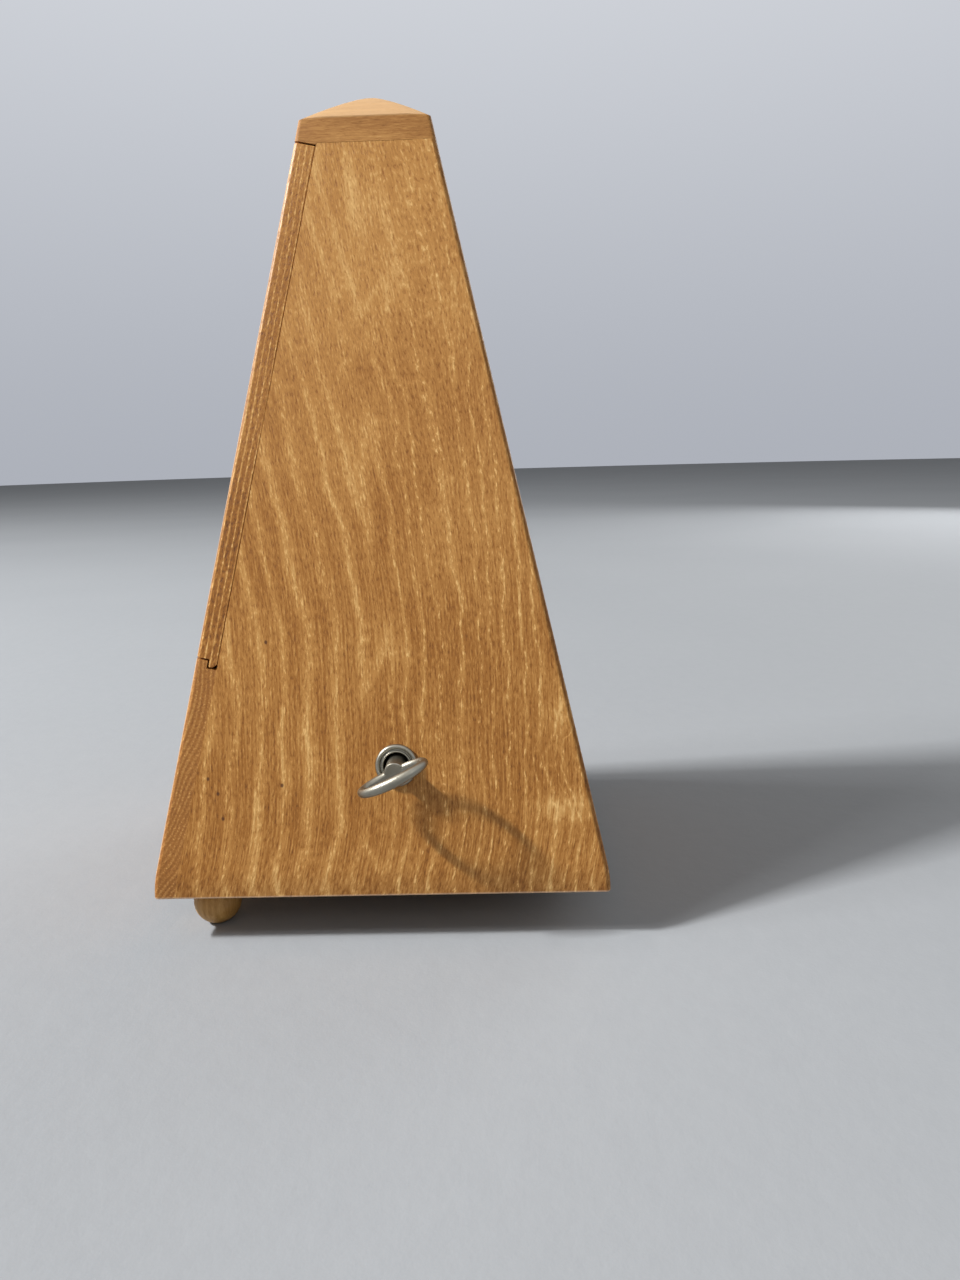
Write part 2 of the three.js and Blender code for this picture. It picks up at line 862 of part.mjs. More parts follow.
function intermediateWheel() {
  const root = (intermediateTeeth * intermediateModule) / 2 - gearDedendum * intermediateModule;
  const phase = meshPhase(intermediateTeeth, intermediateAxis, escapeAxis, escapePinionTeeth);
  const disc = extrude(outline(gearPoints(intermediateTeeth, intermediateModule, phase)), 0, gearThickness);
  return crossedOut(disc, root - wheelRimWidth).translate(0, 0, intermediateWheelX);
}

function escapeWheel() {
  const half = escapeThickness / 2;
  const teeth = sawPoints(escapeTeeth, escapeRadius, escapeRootRadius, escapeLean, escapeLand);
  return crossedOut(extrude(outline(teeth), -half, half), escapeRootRadius - wheelRimWidth);
}

// The turn that puts a wheel's teeth in the spaces of another, which has a tooth at its zero angle.
function meshPhase(teeth, axis, otherAxis, otherTeeth) {
  const offset = (bearing(otherAxis, axis) * otherTeeth) / (2 * Math.PI);
  const share = offset - Math.floor(offset);
  return bearing(axis, otherAxis) + ((share - 0.5) * 2 * Math.PI) / teeth;
}

const pinionPhase = meshPhase(intermediatePinionTeeth, intermediateAxis, barrelAxis, barrelTeeth);

function windingArbor() {
  const stemStart = keyStemEnd - keyStemLength;
  const shaft = turned([
    [0, leftPlateX - plateThickness],
    [windingPivotDiameter / 2, leftPlateX - plateThickness],
    [windingPivotDiameter / 2, leftPlateX + runningGap],
    [windingArborDiameter / 2, leftPlateX + runningGap],
    [windingArborDiameter / 2, rightPlateX - runningGap],
    [windingPivotDiameter / 2, rightPlateX - runningGap],
    [windingPivotDiameter / 2, stemStart - runningGap],
    [0, stemStart - runningGap],
  ]);
  const half = keySquare / 2;
  const squareEnd = stemStart + keySocketDepth - squareEndGap;
  const square = block(-half, half, -half, half, stemStart - keySquare, squareEnd);
  return join(shaft, square);
}

const ratchetStart = rightPlateX + plateThickness + ratchetClearance;

function ratchetWheel() {
  const teeth = sawPoints(ratchetTeeth, ratchetRadius, ratchetRootRadius, ratchetLean, ratchetLand);
  const turnedOver = teeth.map(([x, y]) => [x, -y]).reverse();
  const wheel = extrude(outline(turnedOver), 0, ratchetThickness);
  const bore = round(windingPivotDiameter + 2 * fitGap, -beyond, beyond);
  return cut(wheel, bore).translate(0, 0, ratchetStart);
}

const clickHub = polar(clickDistance, clickBearing);
const clickPivot = [keyY + clickHub[0], keyZ + clickHub[1]];

// The nose stands just off the tips, against the teeth's steep faces. Round the barrel's axis.
function click() {
  const [x, y] = clickHub;
  const noseAngle = clickBearing - clickSpan;
  const reach = ratchetRadius + runningGap;
  const nose = polar(reach, noseAngle);
  const back = polar(reach + clickNoseWidth, noseAngle - ratchetLean);
  const radius = clickPivotDiameter / 2 + clickHubWall;
  const across = bearing(clickHub, nose) + Math.PI / 2;
  const [sideX, sideY] = polar(0.8 * radius, across);
  const arm = [nose, back, [x + sideX, y + sideY], [x - sideX, y - sideY]];
  const hub = round(2 * radius, 0, clickThickness, 20).translate(x, y, 0);
  const bore = round(clickPivotDiameter + 2 * fitGap, -beyond, beyond).translate(x, y, 0);
  const blank = join(extrude(outline(arm), 0, clickThickness), hub);
  return cut(blank, bore).translate(0, 0, ratchetStart + fitGap);
}

// A shoulder screw through the plate, round its own axis.
function clickScrew() {
  const face = ratchetStart + fitGap + clickThickness + fitGap;
  const rim = clickPivotDiameter / 2 + clickScrewRim;
  return turned(
    [
      [0, rightPlateX],
      [clickPivotDiameter / 2, rightPlateX],
      [clickPivotDiameter / 2, face],
      [rim, face],
      [rim, face + 0.75 * clickScrewHead],
      [0.85 * rim, face + clickScrewHead],
      [0, face + clickScrewHead],
    ],
    16,
  );
}

// ---- Key and ferrule ----

const keyFaceX = halfWidth(keyZ);
const keyStemEnd = keyFaceX + keyBowCentre - (keyBowDepth - keyBowThickness) / 2 + keyStemSeat;

// An oval bow whose outer bar swells in the middle, on a stem with a square socket. Round local Z.
function windingKey() {
  const long = (keyBowWidth - keyBowThickness) / 2;
  const short = (keyBowDepth - keyBowThickness) / 2;
  const centre = keyFaceX + keyBowCentre;
  const rings = [];
  const stations = 28;
  for (let i = 0; i < stations; i++) {
    const angle = (2 * Math.PI * i) / stations;
    const out = new THREE.Vector2(Math.cos(angle) / long, Math.sin(angle) / short).normalize();
    const radius = keyBowThickness / 2 + keyBowSwell * Math.max(0, Math.sin(angle)) ** 3;
    const ring = [];
    for (let j = 0; j < 10; j++) {
      const turn = (2 * Math.PI * j) / 10;
      const reach = radius * Math.cos(turn);
      ring.push([
        long * Math.cos(angle) + out.x * reach,
        radius * Math.sin(turn),
        centre + short * Math.sin(angle) + out.y * reach,
      ]);
    }
    rings.push(ring);
  }
  const bow = skin(rings, true).rotateZ(THREE.MathUtils.degToRad(keyBowTurn));
  const stem = round(keyStemDiameter, keyStemEnd - keyStemLength, keyStemEnd);
  const half = keySquare / 2 + fitGap;
  const stemStart = keyStemEnd - keyStemLength;
  const socket = block(-half, half, -half, half, stemStart - beyond, stemStart + keySocketDepth);
  return cut(join(stem, bow), socket);
}

// A flanged tube let into the side, with a raised inner lip.
function ferrule() {
  const bore = ferruleBore / 2;
  const tube = ferruleTubeDiameter / 2;
  const rim = ferruleDiameter / 2;
  return turned(
    [
      [bore, -ferruleTubeLength],
      [tube, -ferruleTubeLength],
      [tube, fitGap],
      [rim, fitGap],
      [rim, 0.35 * ferruleHeight],
      [rim - ferruleSoftening, 0.75 * ferruleHeight],
      [rim - ferruleRimWidth / 2, ferruleHeight],
      [rim - ferruleRimWidth + ferruleSoftening, 0.85 * ferruleHeight],
      [rim - ferruleRimWidth, 0.45 * ferruleHeight],
      [bore + ferruleLipWidth, 0.45 * ferruleHeight],
      [bore + 0.8 * ferruleLipWidth, 0.8 * ferruleHeight],
      [bore + 0.2 * ferruleLipWidth, 0.8 * ferruleHeight],
      [bore, 0.6 * ferruleHeight],
      [bore, -ferruleTubeLength],
    ],
    20,
  );
}

// ---- Pendulum: local X across, local Y in from the front face and local Z up the slope ----

// A cylinder along local Y, on the pendulum's axis unless placed elsewhere.
function pin(diameter, from, to, rise = pivotRise, sides = roundSides) {
  return round(diameter, -to, -from, sides).rotateX(Math.PI / 2).translate(0, 0, rise);
}

const rodStart = bobRise - bobDiameter / 2 + rodTail;
const rodTop = riseAt(rodDepth, capSeam) - rodCapGap;

function pendulumRod() {
  const half = rodWidth / 2;
  const near = rodDepth - rodThickness / 2;
  return block(-half, half, near, near + rodThickness, rodStart, rodTop);
}

// The rod's own slot in what it passes through.
function rodSlot(gap, low, high) {
  const half = rodWidth / 2 + gap;
  return block(-half, half, rodDepth - rodThickness / 2 - gap, rodDepth + rodThickness / 2 + gap, low, high);
}

function bob() {
  const near = rodDepth - bobThickness / 2 + bobSetback;
  const disc = pin(bobDiameter, near, near + bobThickness, bobRise, 36);
  return cut(disc, rodSlot(fitGap, rodStart - fitGap, bobRise + bobDiameter));
}

function collet() {
  const near = rodDepth - colletLead;
  const blank = pin(colletDiameter, near, near + colletLength);
  const bore = pin(pendulumArborDiameter + 2 * fitGap, rodDepth, near + colletLength + beyond);
  return cut(blank, rodSlot(fitGap, pivotRise - colletDiameter, pivotRise + colletDiameter), bore);
}

function pendulumArbor() {
  const start = rodDepth + rodThickness / 2 + fitGap;
  const shoulder = rearBridgeDepth - runningGap;
  return join(
    pin(pendulumArborDiameter, start, shoulder),
    pin(pendulumPivotDiameter, shoulder - bridgeThickness, rearBridgeDepth + bridgeThickness),
  );
}

function pallet(side) {
  const depth = escapeDepth - (side * palletSpacing) / 2;
  const near = depth - palletThickness / 2;
  const inner = escapeThickness / 2 + palletClearance;
  const reach = [side * inner, side * (inner + palletWidth)].sort((a, b) => a - b);
  const low = pivotRise - palletReach;
  const flag = block(reach[0], reach[1], near, near + palletThickness, low, pivotRise);
  const half = palletHubLength / 2;
  const hub = pin(palletHubDiameter, depth - half, depth + half, pivotRise, 16);
  return cut(join(flag, hub), pin(pendulumArborDiameter + 2 * fitGap, depth - beyond, depth + beyond));
}

// A bridge between both plates, or a cock that stands out of the left one.
function bridge(depth, toRight) {
  const low = pivotRise - bridgeHeight / 2;
  const tab = bridgeTabHeight / 2;
  const far = depth + bridgeThickness;
  const webEnd = toRight ? rightPlateX - fitGap : cockEnd;
  const tabEnd = toRight ? rightPlateX + plateThickness : cockEnd;
  const web = block(leftPlateX + fitGap, webEnd, depth, far, low, low + bridgeHeight);
  const tabs = block(leftPlateX - plateThickness, tabEnd, depth, far, pivotRise - tab, pivotRise + tab);
  const bore = toRight ? pendulumArborDiameter : pendulumPivotDiameter;
  return cut(join(web, tabs), pin(bore + 2 * fitGap, depth - beyond, depth + beyond));
}

function slidingWeight() {
  const near = rodDepth - weightLead;
  const shape = [
    [-weightFootWidth / 2, 0],
    [weightFootWidth / 2, 0],
    [weightHeadWidth / 2, weightHeight],
    [-weightHeadWidth / 2, weightHeight],
  ];
  const blank = extrudeY(shape, near, near + weightThickness);
  const slot = rodSlot(fitGap, -beyond, weightHeight + beyond);
  const half = rodWidth / 2 + fitGap;
  const far = rodDepth + rodThickness / 2;
  const room = far + weightSpringThickness + 3 * fitGap;
  return cut(blank, slot, block(-half, half, far, room, -beyond, weightHeight + beyond));
}

function weightSpring() {
  const half = rodWidth / 2;
  const near = rodDepth + rodThickness / 2 + 2 * fitGap;
  const top = weightHeight - weightSpringInset;
  return block(-half, half, near, near + weightSpringThickness, weightSpringInset, top);
}

// ---- Scale, keeper and catch ----

const keeperRise = rodTop - keeperRodOverlap;
const scaleEnd = keeperRise - scaleKeeperGap;

function scaleBoard() {
  const top = riseAt(scaleBoardDepth, capSeam) - runningGap;
  const blank = extrudeX(
    [
      onSlope(scaleBoardDepth, scaleBoardStart),
      onSlope(scaleBoardDepth + scaleBoardThickness, scaleBoardStart),
      onSlope(scaleBoardDepth + scaleBoardThickness, top),
      onSlope(scaleBoardDepth, top),
    ],
    -baseWidth,
    baseWidth,
  );
  const board = common(blank, betweenSides(glueGap));
  const keeperHalf = (keeperWidth - keeperWire) / 2;
  const keeperHole = pin(keeperWire + 2 * fitGap, 0, 4 * beyond, keeperRise, 12);
  const holes = [
    ...scalePinRises.map(scalePinHole),
    keeperHole.clone().translate(-keeperHalf, 0, 0),
    keeperHole.clone().translate(keeperHalf, 0, 0),
  ];
  return cut(board, ...holes.map((tool) => tool.applyMatrix4(slopeFrame.matrix)));
}

const scalePinRises = [scaleStart + scalePinInset, scaleEnd - scalePinInset];

function scalePinHole(rise) {
  return pin(scalePinDiameter + 2 * fitGap, 0, 4 * beyond, rise, 12);
}

function scalePlate() {
  const far = scaleBoardDepth - fitGap;
  const sheet = extrudeY(
    [
      [-scaleFootWidth / 2, scaleStart],
      [scaleFootWidth / 2, scaleStart],
      [scaleHeadWidth / 2, scaleEnd],
      [-scaleHeadWidth / 2, scaleEnd],
    ],
    far - scaleThickness,
    far,
  );
  return cut(sheet, ...scalePinRises.map(scalePinHole));
}

function scalePin(rise) {
  const seat = scaleBoardDepth - fitGap - scaleThickness - fitGap;
  const end = scaleBoardDepth + scaleBoardThickness - legEndGap;
  return join(
    pin(scalePinDiameter, seat - scalePinHead / 2, end, rise, 12),
    pin(2 * scalePinDiameter, seat - scalePinHead, seat, rise, 12),
  );
}

// A wire staple whose legs stand in the scale board. The rod lies behind its bar.
function rodKeeper() {
  const half = (keeperWidth - keeperWire) / 2;
  const end = scaleBoardDepth + scaleBoardThickness - legEndGap;
  const leg = (side) => pin(keeperWire, keeperDepth, end, keeperRise, 10).translate(side * half, 0, 0);
  const bar = round(keeperWire, -half, half, 10).rotateY(Math.PI / 2).translate(0, keeperDepth, keeperRise);
  const corner = (side) =>
    new THREE.SphereGeometry(keeperWire / 2, 10, 6).translate(side * half, keeperDepth, keeperRise);
  return join(bar, leg(-1), leg(1), corner(-1), corner(1));
}

// A leaf under the cap whose nose bears on the door's strike.
function doorCatch() {
  const under = capSeam - catchThickness;
  const strikeFace = boardThickness + fitGap + strikeThickness;
  const near = strikeFace + catchStandoff;
  const far = near + catchThickness;
  const noseRise = riseAt(near, under) - catchNoseDrop;
  const half = catchNoseHeight / 2;
  const leaf = [
    [catchScrewY + catchEnd, capSeam],
    onSlope(near, riseAt(near, capSeam)),
    onSlope(near, noseRise + half),
    onSlope(strikeFace + runningGap, noseRise),
    onSlope(near, noseRise - half),
    onSlope(far, noseRise - half),
    onSlope(strikeFace + runningGap + catchThickness, noseRise),
    onSlope(far, noseRise + half),
    onSlope(far, riseAt(far, under)),
    [catchScrewY + catchEnd, under],
  ];
  return cut(
    extrudeX(leaf.reverse(), -catchWidth / 2, catchWidth / 2),
    screwHole(0, eaveHeight).translate(0, catchScrewY, 0),
  );
}

function doorStrike() {
  const near = boardThickness + fitGap;
  const top = doorTop - strikeDrop;
  const half = strikeWidth / 2;
  return block(-half, half, near, near + strikeThickness, top - strikeHeight, top);
}

// A domed wood screw along Z whose head's underside lies at zero.
function woodScrew() {
  const head = woodScrewHead / 2;
  const shank = woodScrewShank / 2;
  return turned(
    [
      [0, -woodScrewLength],
      [shank, woodScrewPoint - woodScrewLength],
      [shank, 0],
      [head, 0],
      [0.8 * head, 0.6 * woodScrewHeadHeight],
      [0, woodScrewHeadHeight],
    ],
    14,
  );
}

// ---- Assembly ----

const metronome = new THREE.Group();

const slopeFrame = new THREE.Group();
slopeFrame.position.set(0, -baseWidth / 2, sweepHeight / 2);
slopeFrame.rotation.x = -slope;
slopeFrame.updateMatrix();

const movement = new THREE.Group();
movement.quaternion.setFromAxisAngle(new THREE.Vector3(1, 1, 1).normalize(), (2 * Math.PI) / 3);
metronome.add(slopeFrame, movement);

add(metronome, "side_panel_left", sidePanel(-1), finishes.honeyWood);
add(metronome, "side_panel_right", cut(sidePanel(1), keyHole()), finishes.honeyWood);
add(metronome, "back_panel", backPanel(), finishes.honeyWood);
add(metronome, "front_panel", frontPanel(), finishes.honeyWood);
add(metronome, "door", doorBoard(), finishes.honeyWood);
const catchScrewHole = screwHole(capSeam - beyond, capSeam + woodScrewLength).translate(0, catchScrewY, 0);
add(metronome, "cap", cut(cap(), catchScrewHole), finishes.capWood);
add(metronome, "base_board", baseBoard(), finishes.innerWood);
["foot_front_left", "foot_front_right", "foot_back"].forEach((name, i) => {
  add(metronome, name, foot(), finishes.paleWood).position.set(...footPlaces[i], 0);
});

add(metronome, "scale_board", scaleBoard(), finishes.innerWood);
add(slopeFrame, "scale_plate", scalePlate(), finishes.brass);
["scale_pin_low", "scale_pin_high"].forEach((name, i) => {
  add(slopeFrame, name, scalePin(scalePinRises[i]), finishes.brass);
});
add(slopeFrame, "rod_keeper", rodKeeper(), finishes.brass);
add(metronome, "door_catch", doorCatch(), finishes.steel);
const catchScrew = add(metronome, "catch_screw", woodScrew(), finishes.steel);
catchScrew.rotation.x = Math.PI;
catchScrew.position.set(0, catchScrewY, capSeam - catchThickness - fitGap);
add(slopeFrame, "door_strike", doorStrike(), finishes.steel);

add(slopeFrame, "pendulum_rod", pendulumRod(), finishes.steel);
add(slopeFrame, "pendulum_bob", bob(), finishes.castIron);
add(slopeFrame, "rod_collet", collet(), finishes.brass);
add(slopeFrame, "pendulum_arbor", pendulumArbor(), finishes.steel);
add(slopeFrame, "front_pallet", pallet(1), finishes.steel);
add(slopeFrame, "rear_pallet", pallet(-1), finishes.steel);
add(slopeFrame, "front_bridge", bridge(frontBridgeDepth, true), finishes.brass);
add(slopeFrame, "rear_cock", bridge(rearBridgeDepth, false), finishes.brass);
add(slopeFrame, "sliding_weight", slidingWeight(), finishes.brass).position.z = weightRise;
add(slopeFrame, "weight_spring", weightSpring(), finishes.steel).position.z = weightRise;

add(movement, "movement_plate_left", movementPlate(-1), finishes.brass);
add(movement, "movement_plate_right", movementPlate(1), finishes.brass);
pillarPlaces.forEach(([y, z], i) => {
  add(movement, "pillar_" + (i + 1), pillar(), finishes.brass).position.set(y, z, 0);
});
screwPlaces().forEach(([x, y], i) => {
  const screw = add(metronome, "plate_screw_" + (i + 1), woodScrew(), finishes.steel);
  screw.position.set(x, y, baseThickness + plateThickness + fitGap);
});

add(movement, "great_wheel", barrelWheel(), finishes.brass).position.set(...barrelAxis, 0);
add(movement, "barrel_drum", barrelDrum(), finishes.brass).position.set(...barrelAxis, 0);
add(movement, "mainspring", mainspring(), finishes.steel).position.set(...barrelAxis, 0);
add(movement, "winding_arbor", windingArbor(), finishes.steel).position.set(...barrelAxis, 0);
add(movement, "ratchet_wheel", ratchetWheel(), finishes.steel).position.set(...barrelAxis, 0);
add(movement, "click", click(), finishes.steel).position.set(...barrelAxis, 0);
add(movement, "click_screw", clickScrew(), finishes.steel).position.set(...clickPivot, 0);
add(
  movement,
  "intermediate_arbor",
  pinionArbor(intermediatePinionTeeth, barrelModule, greatWheelX + gearThickness / 2, pinionPhase),
  finishes.steel,
).position.set(...intermediateAxis, 0);
add(movement, "intermediate_wheel", intermediateWheel(), finishes.brass).position.set(...intermediateAxis, 0);
add(
  movement,
  "escape_arbor",
  pinionArbor(escapePinionTeeth, intermediateModule, intermediateWheelX + gearThickness / 2, 0),
  finishes.steel,
).position.set(...escapeAxis, 0);
add(movement, "escape_wheel", escapeWheel(), finishes.brass).position.set(...escapeAxis, 0);
add(movement, "winding_key", windingKey(), finishes.pewter).position.set(...barrelAxis, 0);

const ferruleMesh = add(metronome, "key_ferrule", ferrule(), finishes.pewter);
ferruleMesh.rotation.y = Math.PI / 2 - slope;
ferruleMesh.position.set(keyFaceX, keyY, keyZ);

export default metronome;
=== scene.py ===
"""Finish of a wind-up metronome in a wooden pyramid case. Metres, +Z up, door -Y, key +X."""

import json
import math

import bpy
from mathutils import Matrix, Vector


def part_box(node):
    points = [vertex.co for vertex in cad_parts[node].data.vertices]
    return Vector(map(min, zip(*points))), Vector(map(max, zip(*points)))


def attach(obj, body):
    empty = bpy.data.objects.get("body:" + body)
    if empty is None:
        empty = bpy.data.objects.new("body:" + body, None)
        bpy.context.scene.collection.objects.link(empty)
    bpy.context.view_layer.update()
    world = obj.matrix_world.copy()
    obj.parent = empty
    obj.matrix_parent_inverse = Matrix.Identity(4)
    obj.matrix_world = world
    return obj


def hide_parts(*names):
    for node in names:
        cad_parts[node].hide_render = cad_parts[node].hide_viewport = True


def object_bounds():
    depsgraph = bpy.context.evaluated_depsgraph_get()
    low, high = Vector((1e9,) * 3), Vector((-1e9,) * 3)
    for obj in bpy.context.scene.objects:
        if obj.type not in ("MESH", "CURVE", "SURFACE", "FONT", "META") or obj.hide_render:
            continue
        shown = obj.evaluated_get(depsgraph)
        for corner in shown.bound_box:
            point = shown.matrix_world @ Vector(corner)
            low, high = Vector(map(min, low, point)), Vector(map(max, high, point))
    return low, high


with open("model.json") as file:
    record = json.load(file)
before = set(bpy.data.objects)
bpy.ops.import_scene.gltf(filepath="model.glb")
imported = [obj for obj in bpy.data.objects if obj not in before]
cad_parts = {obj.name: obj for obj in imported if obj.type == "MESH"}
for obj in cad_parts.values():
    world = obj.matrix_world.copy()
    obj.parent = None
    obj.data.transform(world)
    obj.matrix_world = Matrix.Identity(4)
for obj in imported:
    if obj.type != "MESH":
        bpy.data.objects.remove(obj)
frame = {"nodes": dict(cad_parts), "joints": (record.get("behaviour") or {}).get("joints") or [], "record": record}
cad_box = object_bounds()

# ---- Directions, places and sizes that the frame gives ----

# The frame is in metres. The sizes that this script names are in millimetres, up to the floor and light.
MM = 0.001
nodes = frame["nodes"]
record = frame["record"]
joints = {joint["name"]: joint for joint in frame["joints"]}
body_of = {node: body for body, members in record["behaviour"]["bodies"].items() for node in members}


def span(node, direction):
    """The least and greatest distance of a CAD node's points along a direction."""
    reach = [vertex.co.dot(direction) for vertex in nodes[node].data.vertices]
    return min(reach), max(reach)


into_case = Vector(joints["pendulum_swing"]["axis"]).normalized()
up_slope = Vector((0, -into_case.z, into_case.y))
slope_sine, slope_cosine = up_slope.y, up_slope.z
pivot = Vector(joints["pendulum_swing"]["pos_m"])
key_axis_place = Vector(joints["winding_turn"]["pos_m"])
floor_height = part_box("foot_back")[0].z

# The slope's own frame at the pivot: X across, Y in from the door and Z up the slope.
on_slope = Matrix((Vector((1, 0, 0)), into_case, up_slope)).transposed().to_4x4()
on_slope.translation = pivot


def reach_from_pivot(node, direction):
    """The least and greatest distance of a CAD node's points from the pivot along a direction."""
    return [reach - pivot.dot(direction) for reach in span(node, direction)]


def side_axes(quarter):
    """Up, across and out of the case's side: 0 the front, 1 the key's side, 2 the back, 3 the left."""
    turn = Matrix.Rotation(quarter * math.pi / 2, 3, "Z")
    return turn @ up_slope, turn @ Vector((1, 0, 0)), turn @ -into_case


key_side_out = side_axes(1)[2]
key_side_face = span("side_panel_right", key_side_out)[1]

# Where the key's axis meets the face of the side panel.
key_mouth = key_axis_place.copy()
key_mouth.x = (key_side_face - key_axis_place.z * key_side_out.z) / key_side_out.x


# ---- Shader arithmetic ----

def tone(red, green, blue):
    """A screen colour, 0 to 255, as the linear colour that a shader takes."""
    linear = [((value / 255 + 0.055) / 1.055) ** 2.4 for value in (red, green, blue)]
    return (*linear, 1)


class Term:
    """A shader value that takes part in arithmetic."""

    def __init__(self, graph, socket):
        self.graph = graph
        self.socket = socket

    def maths(self, operation, *others):
        """The result of an operation on this value and the others, in that order."""
        return self.graph.maths(operation, self, *others)

    def __add__(self, other):
        return self.maths("ADD", other)

    def __sub__(self, other):
        return self.maths("SUBTRACT", other)

    def __rsub__(self, other):
        return self.graph.maths("SUBTRACT", other, self)

    def __mul__(self, other):
        return self.maths("MULTIPLY", other)

    __radd__ = __add__
    __rmul__ = __mul__


class Graph:
    """A node tree, built from its output backwards."""

    def __init__(self, tree):
        self.tree = tree
        tree.nodes.clear()

    def node(self, kind, settings, inputs, output=0):
        """Adds a node with its settings, then the values or links of its inputs."""
        made = self.tree.nodes.new(kind)
        for name, value in settings.items():
            if name == "stops":
                self.set_stops(made.color_ramp, value)
            else:
                setattr(made, name, value)
        for name, value in inputs.items():
            if isinstance(value, Term):
                self.tree.links.new(value.socket, made.inputs[name])
            else:
                made.inputs[name].default_value = value
        return Term(self, made.outputs[output]) if made.outputs else None

    def maths(self, operation, *values):
        return self.node("ShaderNodeMath", {"operation": operation}, dict(enumerate(values)))

    def set_stops(self, ramp, stops):
        while len(ramp.elements) < len(stops):
            ramp.elements.new(0.5)
        for element, (position, colour) in zip(ramp.elements, stops):
            element.position = position
            element.color = colour

    def ramp(self, value, *stops):
        return self.node("ShaderNodeValToRGB", {"stops": stops}, {"Fac": value})

    def smooth(self, value, low, high):
        """0 below low and 1 above high, with a soft rise between them. Low may be the greater one."""
        settings = {"interpolation_type": "SMOOTHSTEP"}
        inputs = {"Value": value, "From Min": low, "From Max": high}
        return self.node("ShaderNodeMapRange", settings, inputs)

    def mix(self, share, first, second):
        settings = {"data_type": "RGBA"}
        return self.node("ShaderNodeMix", settings, {"Factor": share, 6: first, 7: second}, output=2)


class Finish(Graph):
    """A material on one Principled shader, with its pattern in millimetres."""

    def __init__(self, name):
        self.material = bpy.data.materials.new(name)
        self.material.use_nodes = True
        super().__init__(self.material.node_tree)
        objects = self.node("ShaderNodeTexCoord", {}, {}, output="Object")
        settings = {"operation": "SCALE"}
        self.place = self.node("ShaderNodeVectorMath", settings, {0: objects, "Scale": 1 / MM})

    def along(self, direction):
        """How far a point lies along a direction."""
        settings = {"operation": "DOT_PRODUCT"}
        return self.node("ShaderNodeVectorMath", settings, {0: self.place, 1: direction}, output=1)

    def point(self, x, y, z):
        return self.node("ShaderNodeCombineXYZ", {}, {0: x, 1: y, 2: z})

    def noise(self, place, scale, detail=2, roughness=0.5):
        """Cloudy noise about zero."""
        inputs = {"Vector": place, "Scale": scale, "Detail": detail, "Roughness": roughness}
        return self.node("ShaderNodeTexNoise", {}, inputs) - 0.5

    def distance(self, place, middle):
        return self.node("ShaderNodeVectorMath", {"operation": "DISTANCE"}, {0: place, 1: middle}, output=1)

    def stripe(self, count, half, core):
        """1 nearer than core to the middle of each step of a count, and 0 further than half from it."""
        away = (count.maths("FRACT") - 0.5).maths("ABSOLUTE")
        return self.smooth(away, half, core)

    def bump(self, height, depth):
        """Raises the surface by that depth in millimetres where height is 1."""
        inputs = {"Height": height, "Strength": 1, "Distance": depth * MM}
        return self.node("ShaderNodeBump", {}, inputs)

    def finish(self, **inputs):
        named = {name.replace("_", " "): value for name, value in inputs.items()}
        shader = self.node("ShaderNodeBsdfPrincipled", {}, named)
        self.node("ShaderNodeOutputMaterial", {}, {"Surface": shader})
        return self.material


# ---- Wood ----

# The cap's sides stand on the seam, and its roof starts at the eave.
glue_gap = 0.1
cap_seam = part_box("back_panel")[1].z / MM + glue_gap
cap_side_height = 6
eave_height = cap_seam + cap_side_height

# The key side's figure, in millimetres on the face: growth lines that slant down to the right and curl
# back to the left at the foot, a tall row of arches over a wavering spine, and a swirl at the lower right.
ring_width = 7
ring_crowding = 0.1
ring_crowding_start = 2
ring_crowding_ease = 6
ring_unevenness = 0.9
sway_over = 7
waver_over = 3.4
lean_start = 62
lean_rise = 29
lean_ease = 36
lean_over = (0, 30)
lean_loss = 0.45
curl_start = 6
curl_rise = 20
curl_ease = 18
spine_middle = -0.5
spine_sway = 2.5
spine_period = 100
spine_phase = 65
spine_half = 3.5
spine_step = 1.33
shoulder = (13, 20)
shoulder_step = 0.5
rings_per_depth = 0.6
swirl_place = (57, 22)
swirl_size = (14, 15)
swirl_strength = 1.8
swirl_curdling = 1.2
swirl_raggedness = 1.6
swirl_fade = (1.3, 0)

# Dark pin knots: a dark middle that fades out, a little longer than wide.
speck_places = [(-29.1, 55), (-25.5, 17), (-45.2, 19.1), (-42.6, 15.1), (-41.4, 8.5)]
speck_fade = (0.55, 0.25)
speck_squash = 0.8
speck_depth = 0.85
speck_tone = (78, 40, 16)

# Patches of curled grain painted lighter, a painted sheen where they would catch the light: place, half size and
# strength.
painted_sheen_patches = [
    ((6.5, 51), (4, 4.5), 0.16),
    ((50, 10), (9, 4.5), 0.3),
    ((48, 35), (4.5, 5), 0.22),
    ((-4, 173), (3, 12), 0.14),
    ((7, 152), (3, 12), 0.1),
]
sheen_patch_fade = (1.3, 0.1)

# Where the figure changes on a face, each from none to full: the growth lines are broad on its left and
# calm near its top, fine threads show low down, and painted light makes the wood lighter towards the eave.
broad_over = (14, 2)
calm_rise = (85, 150)
thread_rise = (125, 55)
painted_eave_light_rise = (30, 215)

# The halo and the core of a growth line, and the fineness of the grain across it.
halo_stripe = (0.34, 0.05)
core_stripe = (0.13, 0.02)
fine_grain = 2.1
thread_grain = 1.6

# How far past a corner of the case a board's edge grain starts, and where a painted highlight lightens its arris.
edge_start = (-1.1, -0.7)
arris_painted_highlight = (-1.6, -0.9)

# Pale edges: how high the bottom edge is paler, and how far the painted highlight on the front's arrises reaches
# past the corner and inwards.
pale_bottom_rise = (0.75, 0.3)
arris_highlight_corner = (-1.3, -0.8)
arris_highlight_depth = (-0.55, -0.15)
pale_edge_share = 0.5
pale_edge_tone = (240, 212, 182)


def ring_climb(g, over, rise):
    """How many growth lines are crossed on the way up the face."""
    share = 1 - g.smooth(over, *lean_over) * lean_loss
    lean = (rise - lean_start).maths("SMOOTH_MAX", 0, lean_ease) * share * (1 / lean_rise)
    curl = (curl_start - rise).maths("SMOOTH_MAX", 0, curl_ease) * (1 / curl_rise)
    return lean + curl


